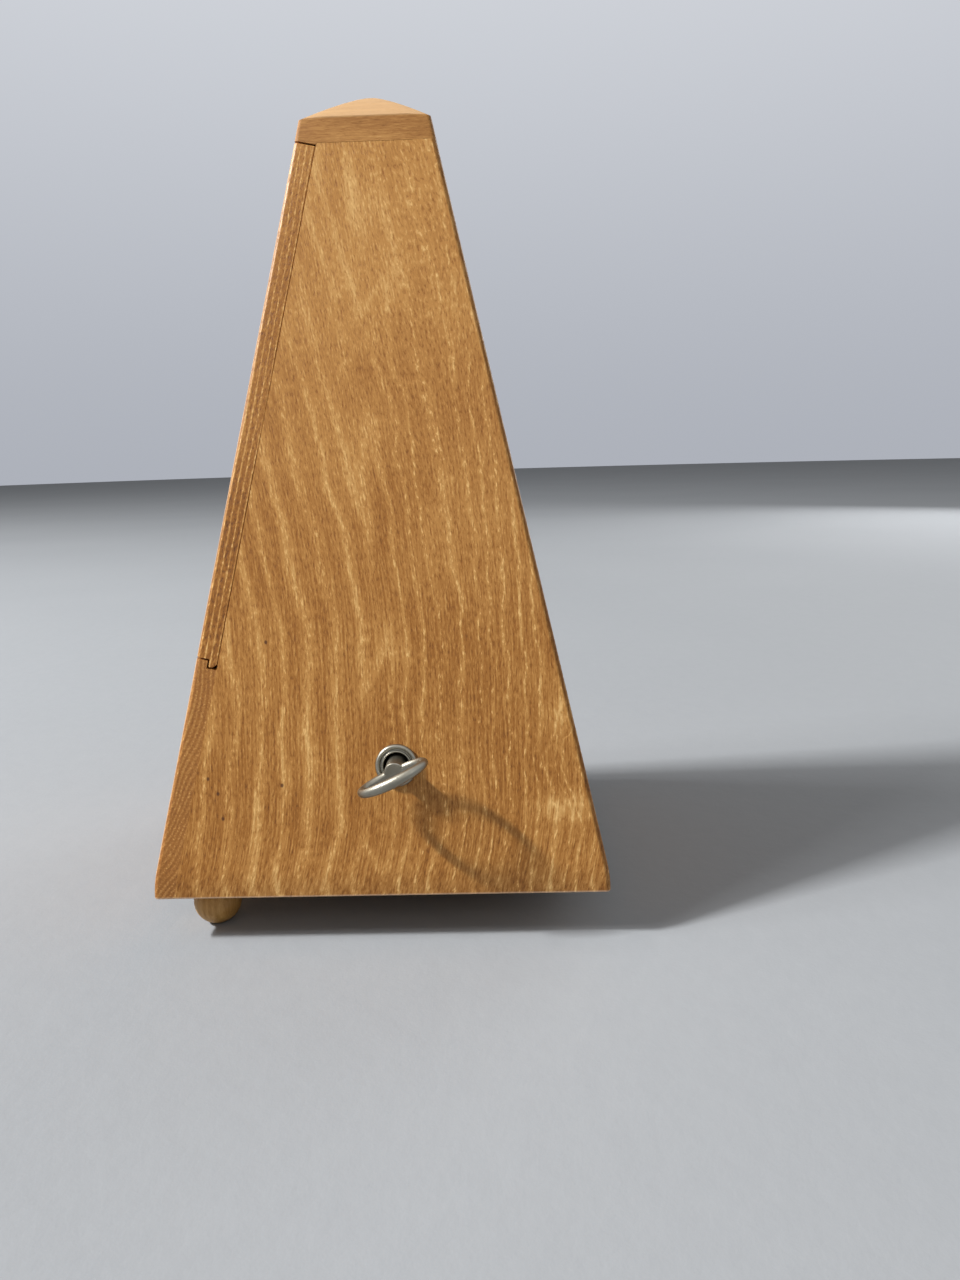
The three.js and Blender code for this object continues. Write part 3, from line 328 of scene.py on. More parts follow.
def ring_count(g, over, rise, deep, seed):
    """How many growth lines lie between a point and the middle of the face."""
    sway = g.noise(g.point(over * 0.5, rise * 0.75, seed), 0.05, 1)
    waver = g.noise(g.point(over * 0.7, rise * 0.8, seed + 5), 0.11, 2)
    over = over + sway * sway_over + waver * waver_over
    crowd = (over - ring_crowding_start).maths("SMOOTH_MAX", 0, ring_crowding_ease)
    turn = ((rise - spine_phase) * (2 * math.pi / spine_period)).maths("COSINE")
    from_spine = over - (turn * spine_sway + spine_middle)
    arches = g.smooth(from_spine, -spine_half, spine_half) * spine_step
    ledge = g.smooth(over, *shoulder) * shoulder_step
    across = (over - swirl_place[0]) * (1 / swirl_size[0])
    up = (rise - swirl_place[1]) * (1 / swirl_size[1])
    curdle = g.noise(g.point(over, rise * 0.6, seed + 9), 0.22, 2)
    swirl = g.smooth(across * across + up * up + curdle * swirl_raggedness, *swirl_fade)
    level = over * (1 / ring_width) + crowd * ring_crowding + deep * rings_per_depth
    level = level + ring_climb(g, over, rise)
    level = level - arches - ledge + swirl * (swirl_strength + curdle * swirl_curdling)
    return level + g.noise(g.point(level * 0.55, seed, 0), 1, 0) * ring_unevenness


def wood_colours(dark, low, high, light):
    return [(0.0, tone(*dark)), (0.33, tone(*low)), (0.62, tone(*high)), (1.0, tone(*light))]


def varnished(g, colour, light_dash, dark_dash, fibre):
    """Satin varnish that has sunk into the pores."""
    return g.finish(
        Base_Color=colour,
        Roughness=0.44 + dark_dash * 0.14 - fibre * 0.14,
        Specular_IOR_Level=0.38,
        Normal=g.bump(fibre * 0.5 + light_dash * 0.25 - dark_dash * 0.7, 0.03),
    )


def past_corner_of(g, over, face):
    """How far a point lies past the two corners of a side, which draw together up the slope."""
    return over.maths("ABSOLUTE") + g.along((0, 0, 1)) * (slope_sine / slope_cosine) - face / slope_cosine


def worn_edges(g, wood, node):
    """Paler along the bottom edge, with a painted highlight along the front's two arrises."""
    share = g.smooth(g.along((0, 0, 1)), *pale_bottom_rise) * pale_edge_share
    if node in ("door", "front_panel", "cap"):
        face = span(node, -into_case)[1] / MM
        past_corner = past_corner_of(g, g.along((1, 0, 0)), face)
        # Painted highlight: the arrises of the front and the cap are painted pale.
        arris = g.smooth(past_corner, *arris_highlight_corner) * g.smooth(g.along(-into_case) - face, *arris_highlight_depth)
        share = share.maths("MAXIMUM", arris * pale_edge_share)
    return g.mix(share, wood, tone(*pale_edge_tone))


def board_finish(name, node, quarter, seed, flip=1, shift=0):
    """Varnished flat-sawn wood with its grain up the slope of one side of the case."""
    g = Finish(name)
    up, across, out = side_axes(quarter)
    face = span(node, out)[1] / MM
    rise, over, deep = g.along(up), g.along(across), g.along(out) - face
    past_corner = past_corner_of(g, over, face)
    on_edge = g.smooth(past_corner, *edge_start)
    edge_drift = g.noise(g.point(rise * 0.02, seed, 0), 1, 1) * 1.2
    figure = ring_count(g, over * flip, rise + shift, deep, seed)
    rings = figure + on_edge * (deep * 0.62 + edge_drift - figure)
    along_grain = over + ring_climb(g, over * flip, rise + shift) * (ring_width * 0.7 * flip)
    strength = g.noise(g.point(over * 0.05, rise * 0.022, seed + rings.maths("FLOOR") * 1.7), 1, 2)
    halo = g.stripe(rings, *halo_stripe)
    ripple = g.noise(g.point(over * 0.4, rise * 0.16, seed), 1, 1)
    core = g.stripe(rings + ripple * 0.18, *core_stripe)
    across_grain, into_grain = along_grain * fine_grain, deep * fine_grain + seed
    fibre = g.noise(g.point(across_grain, rise * 0.13, into_grain), 1, 2)
    dash = g.noise(g.point(across_grain, rise * 0.5, into_grain), 1, 2, 0.65)
    blotch = g.noise(g.point(over * 0.05, rise * 0.03, seed), 1, 2)
    threads = g.noise(g.point(along_grain * thread_grain, rise * 0.045, deep + seed), 1, 1)
    threads = threads * g.smooth(rise, *thread_rise)
    light_dash = g.smooth(dash, 0.03, 0.17)
    dark_dash = g.smooth(dash, -0.04, -0.17)
    broad = g.smooth(over * flip, *broad_over)
    calm = 1 - g.smooth(rise, *calm_rise) * 0.55
    lines = halo * (0.09 + broad * 0.08 + strength * 0.3)
    lines = lines + core * (0.08 + light_dash * 0.3 + strength * 0.4) * (1 - broad * 0.5)
    lines = lines * calm + on_edge * core * (0.2 + light_dash * 0.25)
    level = 0.41 + lines + light_dash * 0.18 - dark_dash * 0.21 + fibre * 0.5 + blotch * 0.4
    # Painted light: the wood is painted lighter up towards the eave.
    level = level + threads * 0.5 + g.smooth(rise, *painted_eave_light_rise) * 0.18 - on_edge * 0.19
    if quarter == 1:
        # Painted highlight along the key side's arrises.
        level = level + g.smooth(past_corner, *arris_painted_highlight) * 0.05
        # Painted sheen on patches of curled grain.
        for (middle_over, middle_rise), (wide, tall), sheen_strength in painted_sheen_patches:
            place = g.point(over * (1 / wide) + fibre * 1.2, rise * (1 / tall) + blotch * 2, 0)
            away = g.distance(place, (middle_over / wide, middle_rise / tall, 0))
            level = level + g.smooth(away, *sheen_patch_fade) * sheen_strength
    wood = g.ramp(level, *wood_colours((108, 60, 12), (160, 103, 40), (197, 141, 73), (240, 194, 124)))
    if quarter == 1:
        for speck_over, speck_rise in speck_places:
            middle = (speck_over, speck_rise * speck_squash, 0)
            away = g.distance(g.point(over, rise * speck_squash, 0), middle)
            wood = g.mix(g.smooth(away, *speck_fade) * speck_depth, wood, tone(*speck_tone))
    return varnished(g, worn_edges(g, wood, node), light_dash, dark_dash, fibre)


# The growth rings on the front panel's end grain are arcs round a place above and before the case.
end_grain_centre = (-171, 89)
end_grain_gap = 1.35

# The cap's roof is painted lighter above the eave: painted light where it faces the lamp.
painted_roof_light_share = 0.6
painted_roof_light_tone = (218, 180, 132)


def cross_board_finish(name):
    """Varnished wood with its grain across the case, and the arcs of its growth rings on its ends."""
    g = Finish(name)
    over, inward, height = (g.along(axis) for axis in ((1, 0, 0), (0, 1, 0), (0, 0, 1)))
    wander = g.noise(g.point(over * 0.015, inward * 0.08, height * 0.05), 1, 1)
    far = g.distance(g.point(over * 0.02, inward, height), (0, *end_grain_centre))
    rings = far * (1 / end_grain_gap) + wander * 4
    strength = g.noise(g.point(over * 0.02, rings.maths("FLOOR") * 1.7, height * 0.08), 1, 1)
    band = g.stripe(rings, 0.42, 0.05)
    fibre = g.noise(g.point(over * 0.07, height * 1.7, inward * 1.7), 1, 2)
    dash = g.noise(g.point(over * 0.4, height * 2.1, inward * 2.1), 1, 2, 0.65)
    blotch = g.noise(g.point(over * 0.03, height * 0.05, inward * 0.05), 1, 2)
    light_dash = g.smooth(dash, 0.02, 0.2)
    dark_dash = g.smooth(dash, -0.03, -0.2)
    level = 0.3 + band * (0.16 + strength * 0.3 + light_dash * 0.24) + light_dash * 0.08 - dark_dash * 0.13
    level = level + fibre * 0.4 + blotch * 0.35
    wood = g.ramp(level, *wood_colours((110, 62, 18), (160, 104, 45), (195, 140, 75), (238, 192, 124)))
    return varnished(g, worn_edges(g, wood, "front_panel"), light_dash, dark_dash, fibre)


def plain_wood_finish(name, along, stops, gap, gloss=0.45, stripes=0.3, node=None):
    """Straight-grained wood: a fine, even figure along one direction."""
    g = Finish(name)
    along = Vector(along)
    sideways = along.orthogonal().normalized()
    through = along.cross(sideways)
    length, side, depth = g.along(along), g.along(sideways), g.along(through)
    wander = g.noise(g.point(length * 0.012, side * 0.06, depth * 0.06), 1, 2)
    band = g.stripe(side * (1 / gap) + depth * (0.4 / gap) + wander * 4, 0.46, 0.05)
    fibre = g.noise(g.point(length * 0.08, side * 1.7, depth * 1.7), 1, 2)
    fleck = g.noise(g.point(length * 0.45, side * 2.8, depth * 2.8), 1, 2, 0.6)
    dark_fleck = g.smooth(fleck, -0.04, -0.2)
    level = 0.36 + band * stripes + fibre * 0.5 + g.smooth(fleck, 0.0, 0.2) * 0.14 - dark_fleck * 0.14
    wood = g.ramp(level, *stops)
    if node == "cap":
        # Painted light: the roof above the eave is painted lighter.
        painted_roof_light = g.smooth(g.along((0, 0, 1)), eave_height + 0.2, eave_height + 1) * painted_roof_light_share
        wood = worn_edges(g, g.mix(painted_roof_light, wood, tone(*painted_roof_light_tone)), node)
    return g.finish(
        Base_Color=wood,
        Roughness=gloss + dark_fleck * 0.14,
        Specular_IOR_Level=0.38,
        Normal=g.bump(fibre * 0.5 - dark_fleck * 0.8, 0.03),
    )


# ---- Metal ----

brush_depth = 0.004
tarnish = 0.35


def metal_finish(name, light, dark, roughness, brush=None):
    """Worked metal: a slow change of tone, fine brushing along one direction, and small pits."""
    g = Finish(name)
    cloud = g.noise(g.place, 0.09, 3)
    grit = g.noise(g.place, 2.4, 2, 0.6)
    if brush:
        direction = Vector(brush).normalized()
        sideways = direction.orthogonal().normalized()
        through = direction.cross(sideways)
        place = g.point(g.along(direction) * 0.1, g.along(sideways) * 7, g.along(through) * 7)
        scratch = g.noise(place, 1, 2, 0.6)
    else:
        scratch = g.noise(g.place, 6, 2, 0.6)
    worn = g.smooth(cloud + grit * 0.3, -0.12, 0.18)
    return g.finish(
        Base_Color=g.mix(worn * tarnish + scratch * 0.3 + 0.1, light, dark),
        Metallic=1.0,
        Roughness=roughness + worn * 0.12 + scratch * 0.18,
        Normal=g.bump(scratch + grit * 0.4, brush_depth),
    )


def key_finish(name, ridges):
    """Satin nickel. With ridges, fine turned ridges ring the stem."""
    g = Finish(name)
    cloud = g.noise(g.place, 0.22, 2)
    grit = g.noise(g.place, 5, 3, 0.6)
    height = grit * 0.5 + cloud * 0.3
    if ridges:
        out = g.along(Vector((1, 0, 0)))
        wave = (out * (2 * math.pi / stem_ridge_pitch)).maths("SINE")
        across = g.along(Vector((0, 1, 0))) - key_axis_place.y / MM
        lift = g.along(Vector((0, 0, 1))) - key_axis_place.z / MM
        reach = across * across + lift * lift
        radius = stem_width / 2
        on_stem = g.smooth(reach, (radius + 0.25) ** 2, (radius + 0.05) ** 2)
        on_stem = on_stem * g.smooth(reach, (radius - 0.4) ** 2, (radius - 0.15) ** 2)
        height = height + wave * on_stem * stem_ridge_height
    return g.finish(
        Base_Color=g.mix(g.smooth(cloud, -0.15, 0.2) * 0.6, tone(156, 152, 139), tone(126, 121, 108)),
        Metallic=1.0,
        Roughness=0.4 + cloud * 0.25 + grit * 0.2,
        Normal=g.bump(height, 0.004),
    )


def iron_finish(name):
    """Cast iron under a thin matt black paint."""
    g = Finish(name)
    cast = g.noise(g.place, 1.1, 4, 0.6)
    worn = g.smooth(g.noise(g.place, 0.35, 3), 0.12, 0.25)
    return g.finish(
        Base_Color=g.mix(worn * 0.6, tone(52, 52, 55), tone(104, 102, 100)),
        Metallic=0.35,
        Roughness=0.58 + cast * 0.3,
        Normal=g.bump(cast, 0.12),
    )


def ink_finish(name):
    """Printed enamel, a little uneven."""
    g = Finish(name)
    uneven = g.noise(g.place, 3, 2)
    return g.finish(
        Base_Color=g.mix(uneven + 0.5, tone(24, 22, 22), tone(48, 44, 42)),
        Roughness=0.4 + uneven * 0.2,
    )


# ---- Modelling tools ----

def select_only(*pieces):
    bpy.ops.object.select_all(action="DESELECT")
    for piece in pieces:
        piece.select_set(True)
    bpy.context.view_layer.objects.active = pieces[0]


def modify(piece, kind, **settings):
    """Adds a modifier, sets it up and applies it."""
    select_only(piece)
    modifier = piece.modifiers.new(kind.lower(), kind)
    for name, value in settings.items():
        setattr(modifier, name, value)
    bpy.ops.object.modifier_apply(modifier=modifier.name)


def shade(piece, degrees=35):
    """Smooth shading up to that angle, with the flat faces kept flat."""
    select_only(piece)
    bpy.ops.object.shade_smooth_by_angle(angle=math.radians(degrees))
    modify(piece, "WEIGHTED_NORMAL", keep_sharp=True)


def refined(node, ease=0, smooth=35):
    """A copy of a CAD node as one clean mesh, with its sharp edges eased and its rounds shaded smooth."""
    piece = bpy.data.objects.new(node + "_finished", nodes[node].data.copy())
    bpy.context.scene.collection.objects.link(piece)
    select_only(piece)
    bpy.ops.object.mode_set(mode="EDIT")
    bpy.ops.mesh.select_all(action="SELECT")
    bpy.ops.mesh.remove_doubles(threshold=0.01 * MM)
    bpy.ops.mesh.dissolve_limited(angle_limit=math.radians(1))
    bpy.ops.object.mode_set(mode="OBJECT")
    if ease:
        limits = {"limit_method": "ANGLE", "angle_limit": math.radians(50)}
        modify(piece, "BEVEL", width=ease * MM, segments=2, **limits)
    shade(piece, smooth)
    return piece


def ease_edges(piece, width, chosen):
    """Rounds the edges whose two ends are both chosen, and shades the piece again."""
    weights = piece.data.attributes.new("bevel_weight_edge", "FLOAT", "EDGE")
    points = piece.data.vertices
    for edge in piece.data.edges:
        ends = [points[index].co for index in edge.vertices]
        weights.data[edge.index].value = float(all(chosen(end) for end in ends))
    modify(piece, "BEVEL", width=width * MM, segments=2, limit_method="WEIGHT")
    shade(piece)


def turned(name, profile, sides=64, ring=False):
    """A piece turned about Z through (radius, height) points in millimetres. A ring's profile closes."""
    bpy.ops.object.select_all(action="DESELECT")
    radius, height = profile[0]
    fill = "NOTHING" if ring else "NGON"
    bpy.ops.mesh.primitive_circle_add(vertices=sides, radius=radius * MM, fill_type=fill)
    piece = bpy.context.object
    piece.name = name
    piece.data.transform(Matrix.Translation((0, 0, height * MM)))
    bpy.ops.object.mode_set(mode="EDIT")
    bpy.ops.mesh.select_all(action="SELECT")
    for wide, high in [*profile[1:], *([profile[0]] if ring else [])]:
        step = {"value": (0, 0, (high - height) * MM)}
        if ring:
            bpy.ops.mesh.extrude_edges_move(TRANSFORM_OT_translate=step)
        else:
            bpy.ops.mesh.extrude_region_move(TRANSFORM_OT_translate=step)
        share = wide / radius
        bpy.ops.transform.resize(value=(share, share, 1), center_override=(0, 0, high * MM))
        radius, height = wide, high
    bpy.ops.mesh.select_all(action="SELECT")
    bpy.ops.mesh.remove_doubles(threshold=0.001 * MM)
    bpy.ops.mesh.normals_make_consistent(inside=False)
    bpy.ops.object.mode_set(mode="OBJECT")
    return piece


def block(name, low, high):
    """A box between two corners, in millimetres."""
    bpy.ops.object.select_all(action="DESELECT")
    bpy.ops.mesh.primitive_cube_add(size=1)
    piece = bpy.context.object
    piece.name = name
    size = [(b - a) * MM for a, b in zip(low, high)]
    middle = [(a + b) / 2 * MM for a, b in zip(low, high)]
    piece.data.transform(Matrix.Translation(middle) @ Matrix.Diagonal((*size, 1)))
    return piece


def carve(piece, tool, operation="DIFFERENCE"):
    """Cuts a tool's shape out of a piece, or adds it, and removes the tool."""
    modify(piece, "BOOLEAN", operation=operation, solver="EXACT", object=tool)
    bpy.data.objects.remove(tool)


def joined(name, *pieces):
    select_only(*pieces)
    bpy.ops.object.join()
    pieces[0].name = name
    return pieces[0]


def coat(piece, material):
    piece.data.materials.clear()
    piece.data.materials.append(material)


def stands_for(piece, node, material, place=None):
    """Puts a piece in place of a CAD node, on the node's body."""
    if place:
        piece.data.transform(place)
    coat(piece, material)
    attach(piece, body_of[node])
    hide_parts(node)


# ---- Key and ferrule ----

key_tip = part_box("winding_key")[1].x / MM
stem_width = 5.3
stem_length = 20
stem_ridge_pitch = 0.55
stem_ridge_height = 4.0
stem_rim = 0.2
bow_wire = 2.2
bow_depth = 11.7
bow_width = 20
bow_turn = math.radians(25)
bow_swell = 0.35
stem_seat = 1.2
socket_width = 3.2
socket_depth = 18
key_grain = 0.12
seam_reach = 2.2


def winding_key():
    """An oval bow on a round stem, cast in one, with its outer bar fuller in the middle."""
    bow_middle = key_tip - (bow_depth - bow_wire) / 2 - bow_wire / 2 - bow_swell
    stem_end = bow_middle - (bow_depth - bow_wire) / 2 + stem_seat
    bpy.ops.object.select_all(action="DESELECT")
    bpy.ops.curve.primitive_bezier_circle_add(radius=1)
    bow = bpy.context.object
    curve = bow.data
    long, short = (bow_width - bow_wire) / 2 * MM, (bow_depth - bow_wire) / 2 * MM
    curve.transform(Matrix.Diagonal((long, short, 1, 1)), shape_keys=False)
    curve.bevel_depth = bow_wire / 2 * MM
    curve.bevel_resolution = 10
    curve.resolution_u = 32
    curve.splines[0].radius_interpolation = "EASE"
    for bend in curve.splines[0].bezier_points:
        outer = bend.co.y > short / 2
        bend.radius = 1 + outer * bow_swell / (bow_wire / 2)
    select_only(bow)
    bpy.ops.object.convert(target="MESH")
    bow = bpy.context.object
    facing = Matrix.Rotation(bow_turn, 4, "X") @ Matrix.Rotation(-math.pi / 2, 4, "Z")
    bow.data.transform(Matrix.Translation((bow_middle * MM, 0, 0)) @ facing)
    start = stem_end - stem_length
    radius = stem_width / 2
    stem = turned(
        "winding_key_stem",
        [
            (radius - stem_rim, start),
            (radius, start + stem_rim),
            (radius, stem_end - stem_rim),
            (radius - stem_rim, stem_end),
        ],
        sides=96,
    )
    stem.data.transform(Matrix.Rotation(math.pi / 2, 4, "Y"))
    wall = socket_width / 2
    carve(stem, block("socket", (start - 5, -wall, -wall), (start + socket_depth, wall, wall)))
    key = joined("winding_key_finished", bow, stem)
    modify(key, "REMESH", mode="VOXEL", voxel_size=key_grain * MM, use_smooth_shade=True)
    modify(key, "SMOOTH", factor=0.5, iterations=4)
    seams = key.vertex_groups.new(name="seams")
    inner, outer = 0.85 * stem_width / 2 * MM, (stem_width / 2 + 1.2) * MM
    for vertex in key.data.vertices:
        x, y, z = vertex.co
        if abs(x - stem_end * MM) < seam_reach * MM and inner < math.hypot(y, z) < outer:
            seams.add([vertex.index], 1, "REPLACE")
    modify(key, "SMOOTH", factor=0.5, iterations=14, vertex_group="seams")
    key.vertex_groups.clear()
    axis_place = Matrix.Translation((0, key_axis_place.y, key_axis_place.z))
    stands_for(key, "winding_key", key_finish("satin_nickel_key", ridges=True), axis_place)


def key_ferrule():
    """A flanged tube with a rolled rim, a groove and a small inner lip."""
    low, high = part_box("key_ferrule")
    rim = (high.y - low.y) / 2 / MM
    bore = 3.4
    tube = 4.5
    tube_end = -2.2
    seat = 0.1
    roll = 0.7
    roll_base, roll_top = 0.35, 1.25
    groove = 0.42
    lip = 0.3
    lip_base, lip_rise = 0.55, 0.45
    profile = [(bore, tube_end), (tube, tube_end), (tube, seat), (rim - 0.1, seat)]
    for step in range(13):
        angle = math.pi * step / 12
        height = roll_base + (roll_top - roll_base) * math.sin(angle)
        profile.append((rim - roll + roll * math.cos(angle), height))
    profile += [(rim - 2 * roll, groove), (bore + 0.62, groove)]
    for step in range(9):
        angle = math.pi * step / 8
        profile.append((bore + lip + lip * math.cos(angle), lip_base + lip_rise * math.sin(angle)))
    piece = turned("key_ferrule_finished", profile, sides=128, ring=True)
    shade(piece, 40)
    lean = Matrix.Rotation(math.atan2(key_side_out.x, key_side_out.z), 4, "Y")
    place = Matrix.Translation(key_mouth) @ lean
    stands_for(piece, "key_ferrule", key_finish("satin_nickel_ferrule", ridges=False), place)


# ---- Case ----

# The boards' tops, down to this far below the seam, are drawn up a little way into the cap.
top_reach = 0.3
top_overlap = 0.03


def case_boards():
    """The glued boards meet with no gap between them. The door keeps its gaps."""
    boards = [
        ("side_panel_right", board_finish("honey_wood_key_side", "side_panel_right", 1, 3.0)),
        ("side_panel_left", board_finish("honey_wood_left", "side_panel_left", 3, 11.0, flip=-1, shift=34)),
        ("back_panel", board_finish("honey_wood_back", "back_panel", 2, 19.0, shift=-25)),
        ("front_panel", cross_board_finish("honey_wood_front_panel")),
    ]
    seam = cap_seam * MM
    panel_back = span("front_panel", into_case)[1]
    for node, material in boards:
        piece = refined(node)
        for vertex in piece.data.vertices:
            if vertex.co.z > seam - top_reach * MM:
                vertex.co.z = seam + top_overlap * MM
            if node == "front_panel" and vertex.co.dot(into_case) > panel_back - 0.01 * MM:
                vertex.co += into_case * glue_gap * MM
        ease_edges(piece, 0.4, lambda end: end.z < 0.05 * MM)
        stands_for(piece, node, material)
    door = refined("door", ease=0.3)
    stands_for(door, "door", board_finish("honey_wood_door", "door", 0, 27.0, flip=-1, shift=12))
    cap = refined("cap", smooth=20)
    stops = wood_colours((118, 70, 26), (164, 110, 50), (194, 140, 75), (228, 180, 116))
    wood = plain_wood_finish("cap_wood", (0, 1, 0), stops, gap=3.2, gloss=0.58, stripes=0.14, node="cap")
    stands_for(cap, "cap", wood)


def inner_boards():
    stops = wood_colours((100, 66, 34), (134, 95, 54), (160, 120, 74), (190, 149, 100))
    base_wood = plain_wood_finish("inner_wood_base", (1, 0, 0), stops, gap=2.4, gloss=0.68)
    scale_wood = plain_wood_finish("inner_wood_scale_board", up_slope, stops, gap=2.0, gloss=0.68)
    stands_for(refined("base_board", ease=0.2), "base_board", base_wood)
    stands_for(refined("scale_board", ease=0.2), "scale_board", scale_wood)


dowel_radius = 3
dowel_ease = 0.4


def foot(node, material):
    """A turned ball with a small flat underneath and a dowel on top."""
    low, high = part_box(node)
    width = high.x - low.x
    bpy.ops.object.select_all(action="DESELECT")
    bpy.ops.mesh.primitive_uv_sphere_add(segments=64, ring_count=40, radius=width / 2)
    ball = bpy.context.object
    ball.name = node + "_finished"
    flat = -low.z / 2
    bpy.ops.object.mode_set(mode="EDIT")
    for side in (-1, 1):
        bpy.ops.mesh.select_all(action="SELECT")
        plane = {"plane_co": (0, 0, side * flat), "plane_no": (0, 0, side)}
        bpy.ops.mesh.bisect(**plane, use_fill=True, clear_outer=True)
    bpy.ops.object.mode_set(mode="OBJECT")
    end = high.z / MM
    profile = [(dowel_radius, -2), (dowel_radius, end - dowel_ease), (dowel_radius - dowel_ease, end)]
    dowel = turned("dowel", profile, sides=48)
    dowel.data.transform(Matrix.Translation((0, 0, flat)))
    carve(ball, dowel, "UNION")
    shade(ball, 30)
    middle = (low + high) / 2
    stands_for(ball, node, material, Matrix.Translation((middle.x, middle.y, -flat)))


def feet():
    stops = wood_colours((138, 92, 38), (170, 124, 62), (188, 144, 80), (210, 170, 108))
    beech = plain_wood_finish("pale_wood_feet", (0, 0, 1), stops, gap=2.2, gloss=0.42, stripes=0.2)
    for node in ("foot_front_left", "foot_front_right", "foot_back"):
        foot(node, beech)


# ---- Scale, pendulum and weight ----

tempos = (40, 44, 48, 52, 56, 60, 66, 72, 80, 88, 96, 104, 112, 120, 132, 144, 160, 176, 192, 208)
weight_top = reach_from_pivot("sliding_weight", up_slope)[1]
slide_down, slide_up = joints["weight_slide"]["range_m"]

# The enamel's thickness, a line's half length, half width and offset, and a number's height and offset.
enamel = 0.06
line_reach, line_half, line_aside = 4.6, 0.11, 1.2
number_size, number_aside = 4.4, 8.3


def tempo_rises():
    """The heights up the slope, from the pivot, where the weight's top edge stands for each tempo."""
    top, bottom = weight_top + slide_up, weight_top + slide_down
    return [top + (bottom - top) * i / (len(tempos) - 1) for i in range(len(tempos))]


def scale_print(material):
    """Numbers and lines, raised by the thickness of their enamel, on the face of the scale plate."""
    face = span("scale_plate", into_case)[0] - pivot.dot(into_case)
    thickness = enamel * MM
    thin = Matrix.Diagonal((1, enamel, 1, 1))
    pieces = []
    for i, (tempo, rise) in enumerate(zip(tempos, tempo_rises())):
        side = -1 if i % 2 == 0 else 1
        line = block("line", (-line_reach, 0, -line_half), (line_reach, 1, line_half))
        line.data.transform(Matrix.Translation((side * line_aside * MM, face - thickness, rise)) @ thin)
        bpy.ops.object.select_all(action="DESELECT")
        bpy.ops.object.text_add()
        number = bpy.context.object
        number.data.body = str(tempo)
        number.data.size = number_size * MM
        number.data.align_x = "CENTER"
        number.data.align_y = "CENTER"
        number.data.extrude = thickness / 2
        number.data.resolution_u = 3
        bpy.ops.object.convert(target="MESH")
        number = bpy.context.object
        upright = Matrix.Rotation(math.pi / 2, 4, "X")
        place = Matrix.Translation((side * number_aside * MM, face - thickness / 2, rise))
        number.data.transform(place @ upright)
        pieces += [line, number]
    text = joined("scale_numbers", *pieces)
    text.data.transform(on_slope)
    coat(text, material)
    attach(text, body_of["scale_plate"])


notch_half = 0.25
rod_ease = 0.08


def pendulum_rod(material):
    """A flat steel rod with a notch in its edge for each tempo."""
    low, high = reach_from_pivot("pendulum_rod", up_slope)
    near, far = reach_from_pivot("pendulum_rod", into_case)
    half = span("pendulum_rod", Vector((1, 0, 0)))[1]
    corners = (-half / MM, near / MM, low / MM), (half / MM, far / MM, high / MM)
    rod = block("pendulum_rod_finished", *corners)
    notches = []
    for rise in tempo_rises():
        notch = block("notch", (-notch_half, -2, -notch_half), (notch_half, 2, notch_half))
        notch.data.transform(Matrix.Translation((half, 0, rise)) @ Matrix.Rotation(math.pi / 4, 4, "Y"))
        notches.append(notch)
    carve(rod, joined("notches", *notches))
    limits = {"limit_method": "ANGLE", "angle_limit": math.radians(60)}
    modify(rod, "BEVEL", width=rod_ease * MM, segments=1, **limits)
    shade(rod)
    stands_for(rod, "pendulum_rod", material, on_slope)


def pendulum_bob(material):
    """A cast disc with a rounded rim, slotted for the rod."""
    low, high = reach_from_pivot("pendulum_bob", up_slope)
    near, far = reach_from_pivot("pendulum_bob", into_case)
    radius = (high - low) / 2 / MM
    half = (far - near) / 2 / MM
    hollow = 0.35
    round_off = 1.2
    profile = [(0.01, -half), (radius * 0.55, -half)]
    profile += [(radius * 0.58, -half + hollow), (radius * 0.9, -half + hollow)]
    for step in range(7):
        angle = math.pi / 2 * step / 6
        wide = radius - round_off + round_off * math.sin(angle)
        profile.append((wide, -half + round_off - round_off * math.cos(angle)))
    profile += [(wide, -height) for wide, height in reversed(profile)]
    bob = turned("pendulum_bob_finished", profile, sides=96)
    middle = Matrix.Translation((0, (near + far) / 2, (low + high) / 2))
    bob.data.transform(middle @ Matrix.Rotation(math.pi / 2, 4, "X"))
    room = 0.1
    rod_half = span("pendulum_rod", Vector((1, 0, 0)))[1] / MM + room
    rod_near, rod_far = reach_from_pivot("pendulum_rod", into_case)
    rod_low = reach_from_pivot("pendulum_rod", up_slope)[0]
    slot_low = (-rod_half, rod_near / MM - room, rod_low / MM - room)
    carve(bob, block("slot", slot_low, (rod_half, rod_far / MM + room, high / MM + 5)))
    shade(bob, 40)
    stands_for(bob, "pendulum_bob", material, on_slope)


# ---- Screws ----

screw_shank = 1.2
screw_length = 6
screw_rise = 1.2
screw_slot_half = 0.32

# The domed head, in shares of its radius and of its rise.
screw_dome = [(1, 0), (1, 0.25), (0.93, 0.55), (0.75, 0.82), (0.45, 0.96)]


def slotted_screw(node, place, material, head):
    """A wood screw with a domed, slotted head. Its head's underside lies at zero."""
    profile = [(0.05, -screw_length), (screw_shank, 1.5 - screw_length), (screw_shank, -0.01)]
    profile += [(wide * head, high * screw_rise) for wide, high in screw_dome]
    profile.append((0.02, screw_rise))
    screw = turned(node + "_finished", profile, sides=48)
    slot_low = (-head - 1, -screw_slot_half, 0.4 * screw_rise)
    carve(screw, block("slot", slot_low, (head + 1, screw_slot_half, screw_rise + 1)))
    shade(screw, 30)
    stands_for(screw, node, material, place)


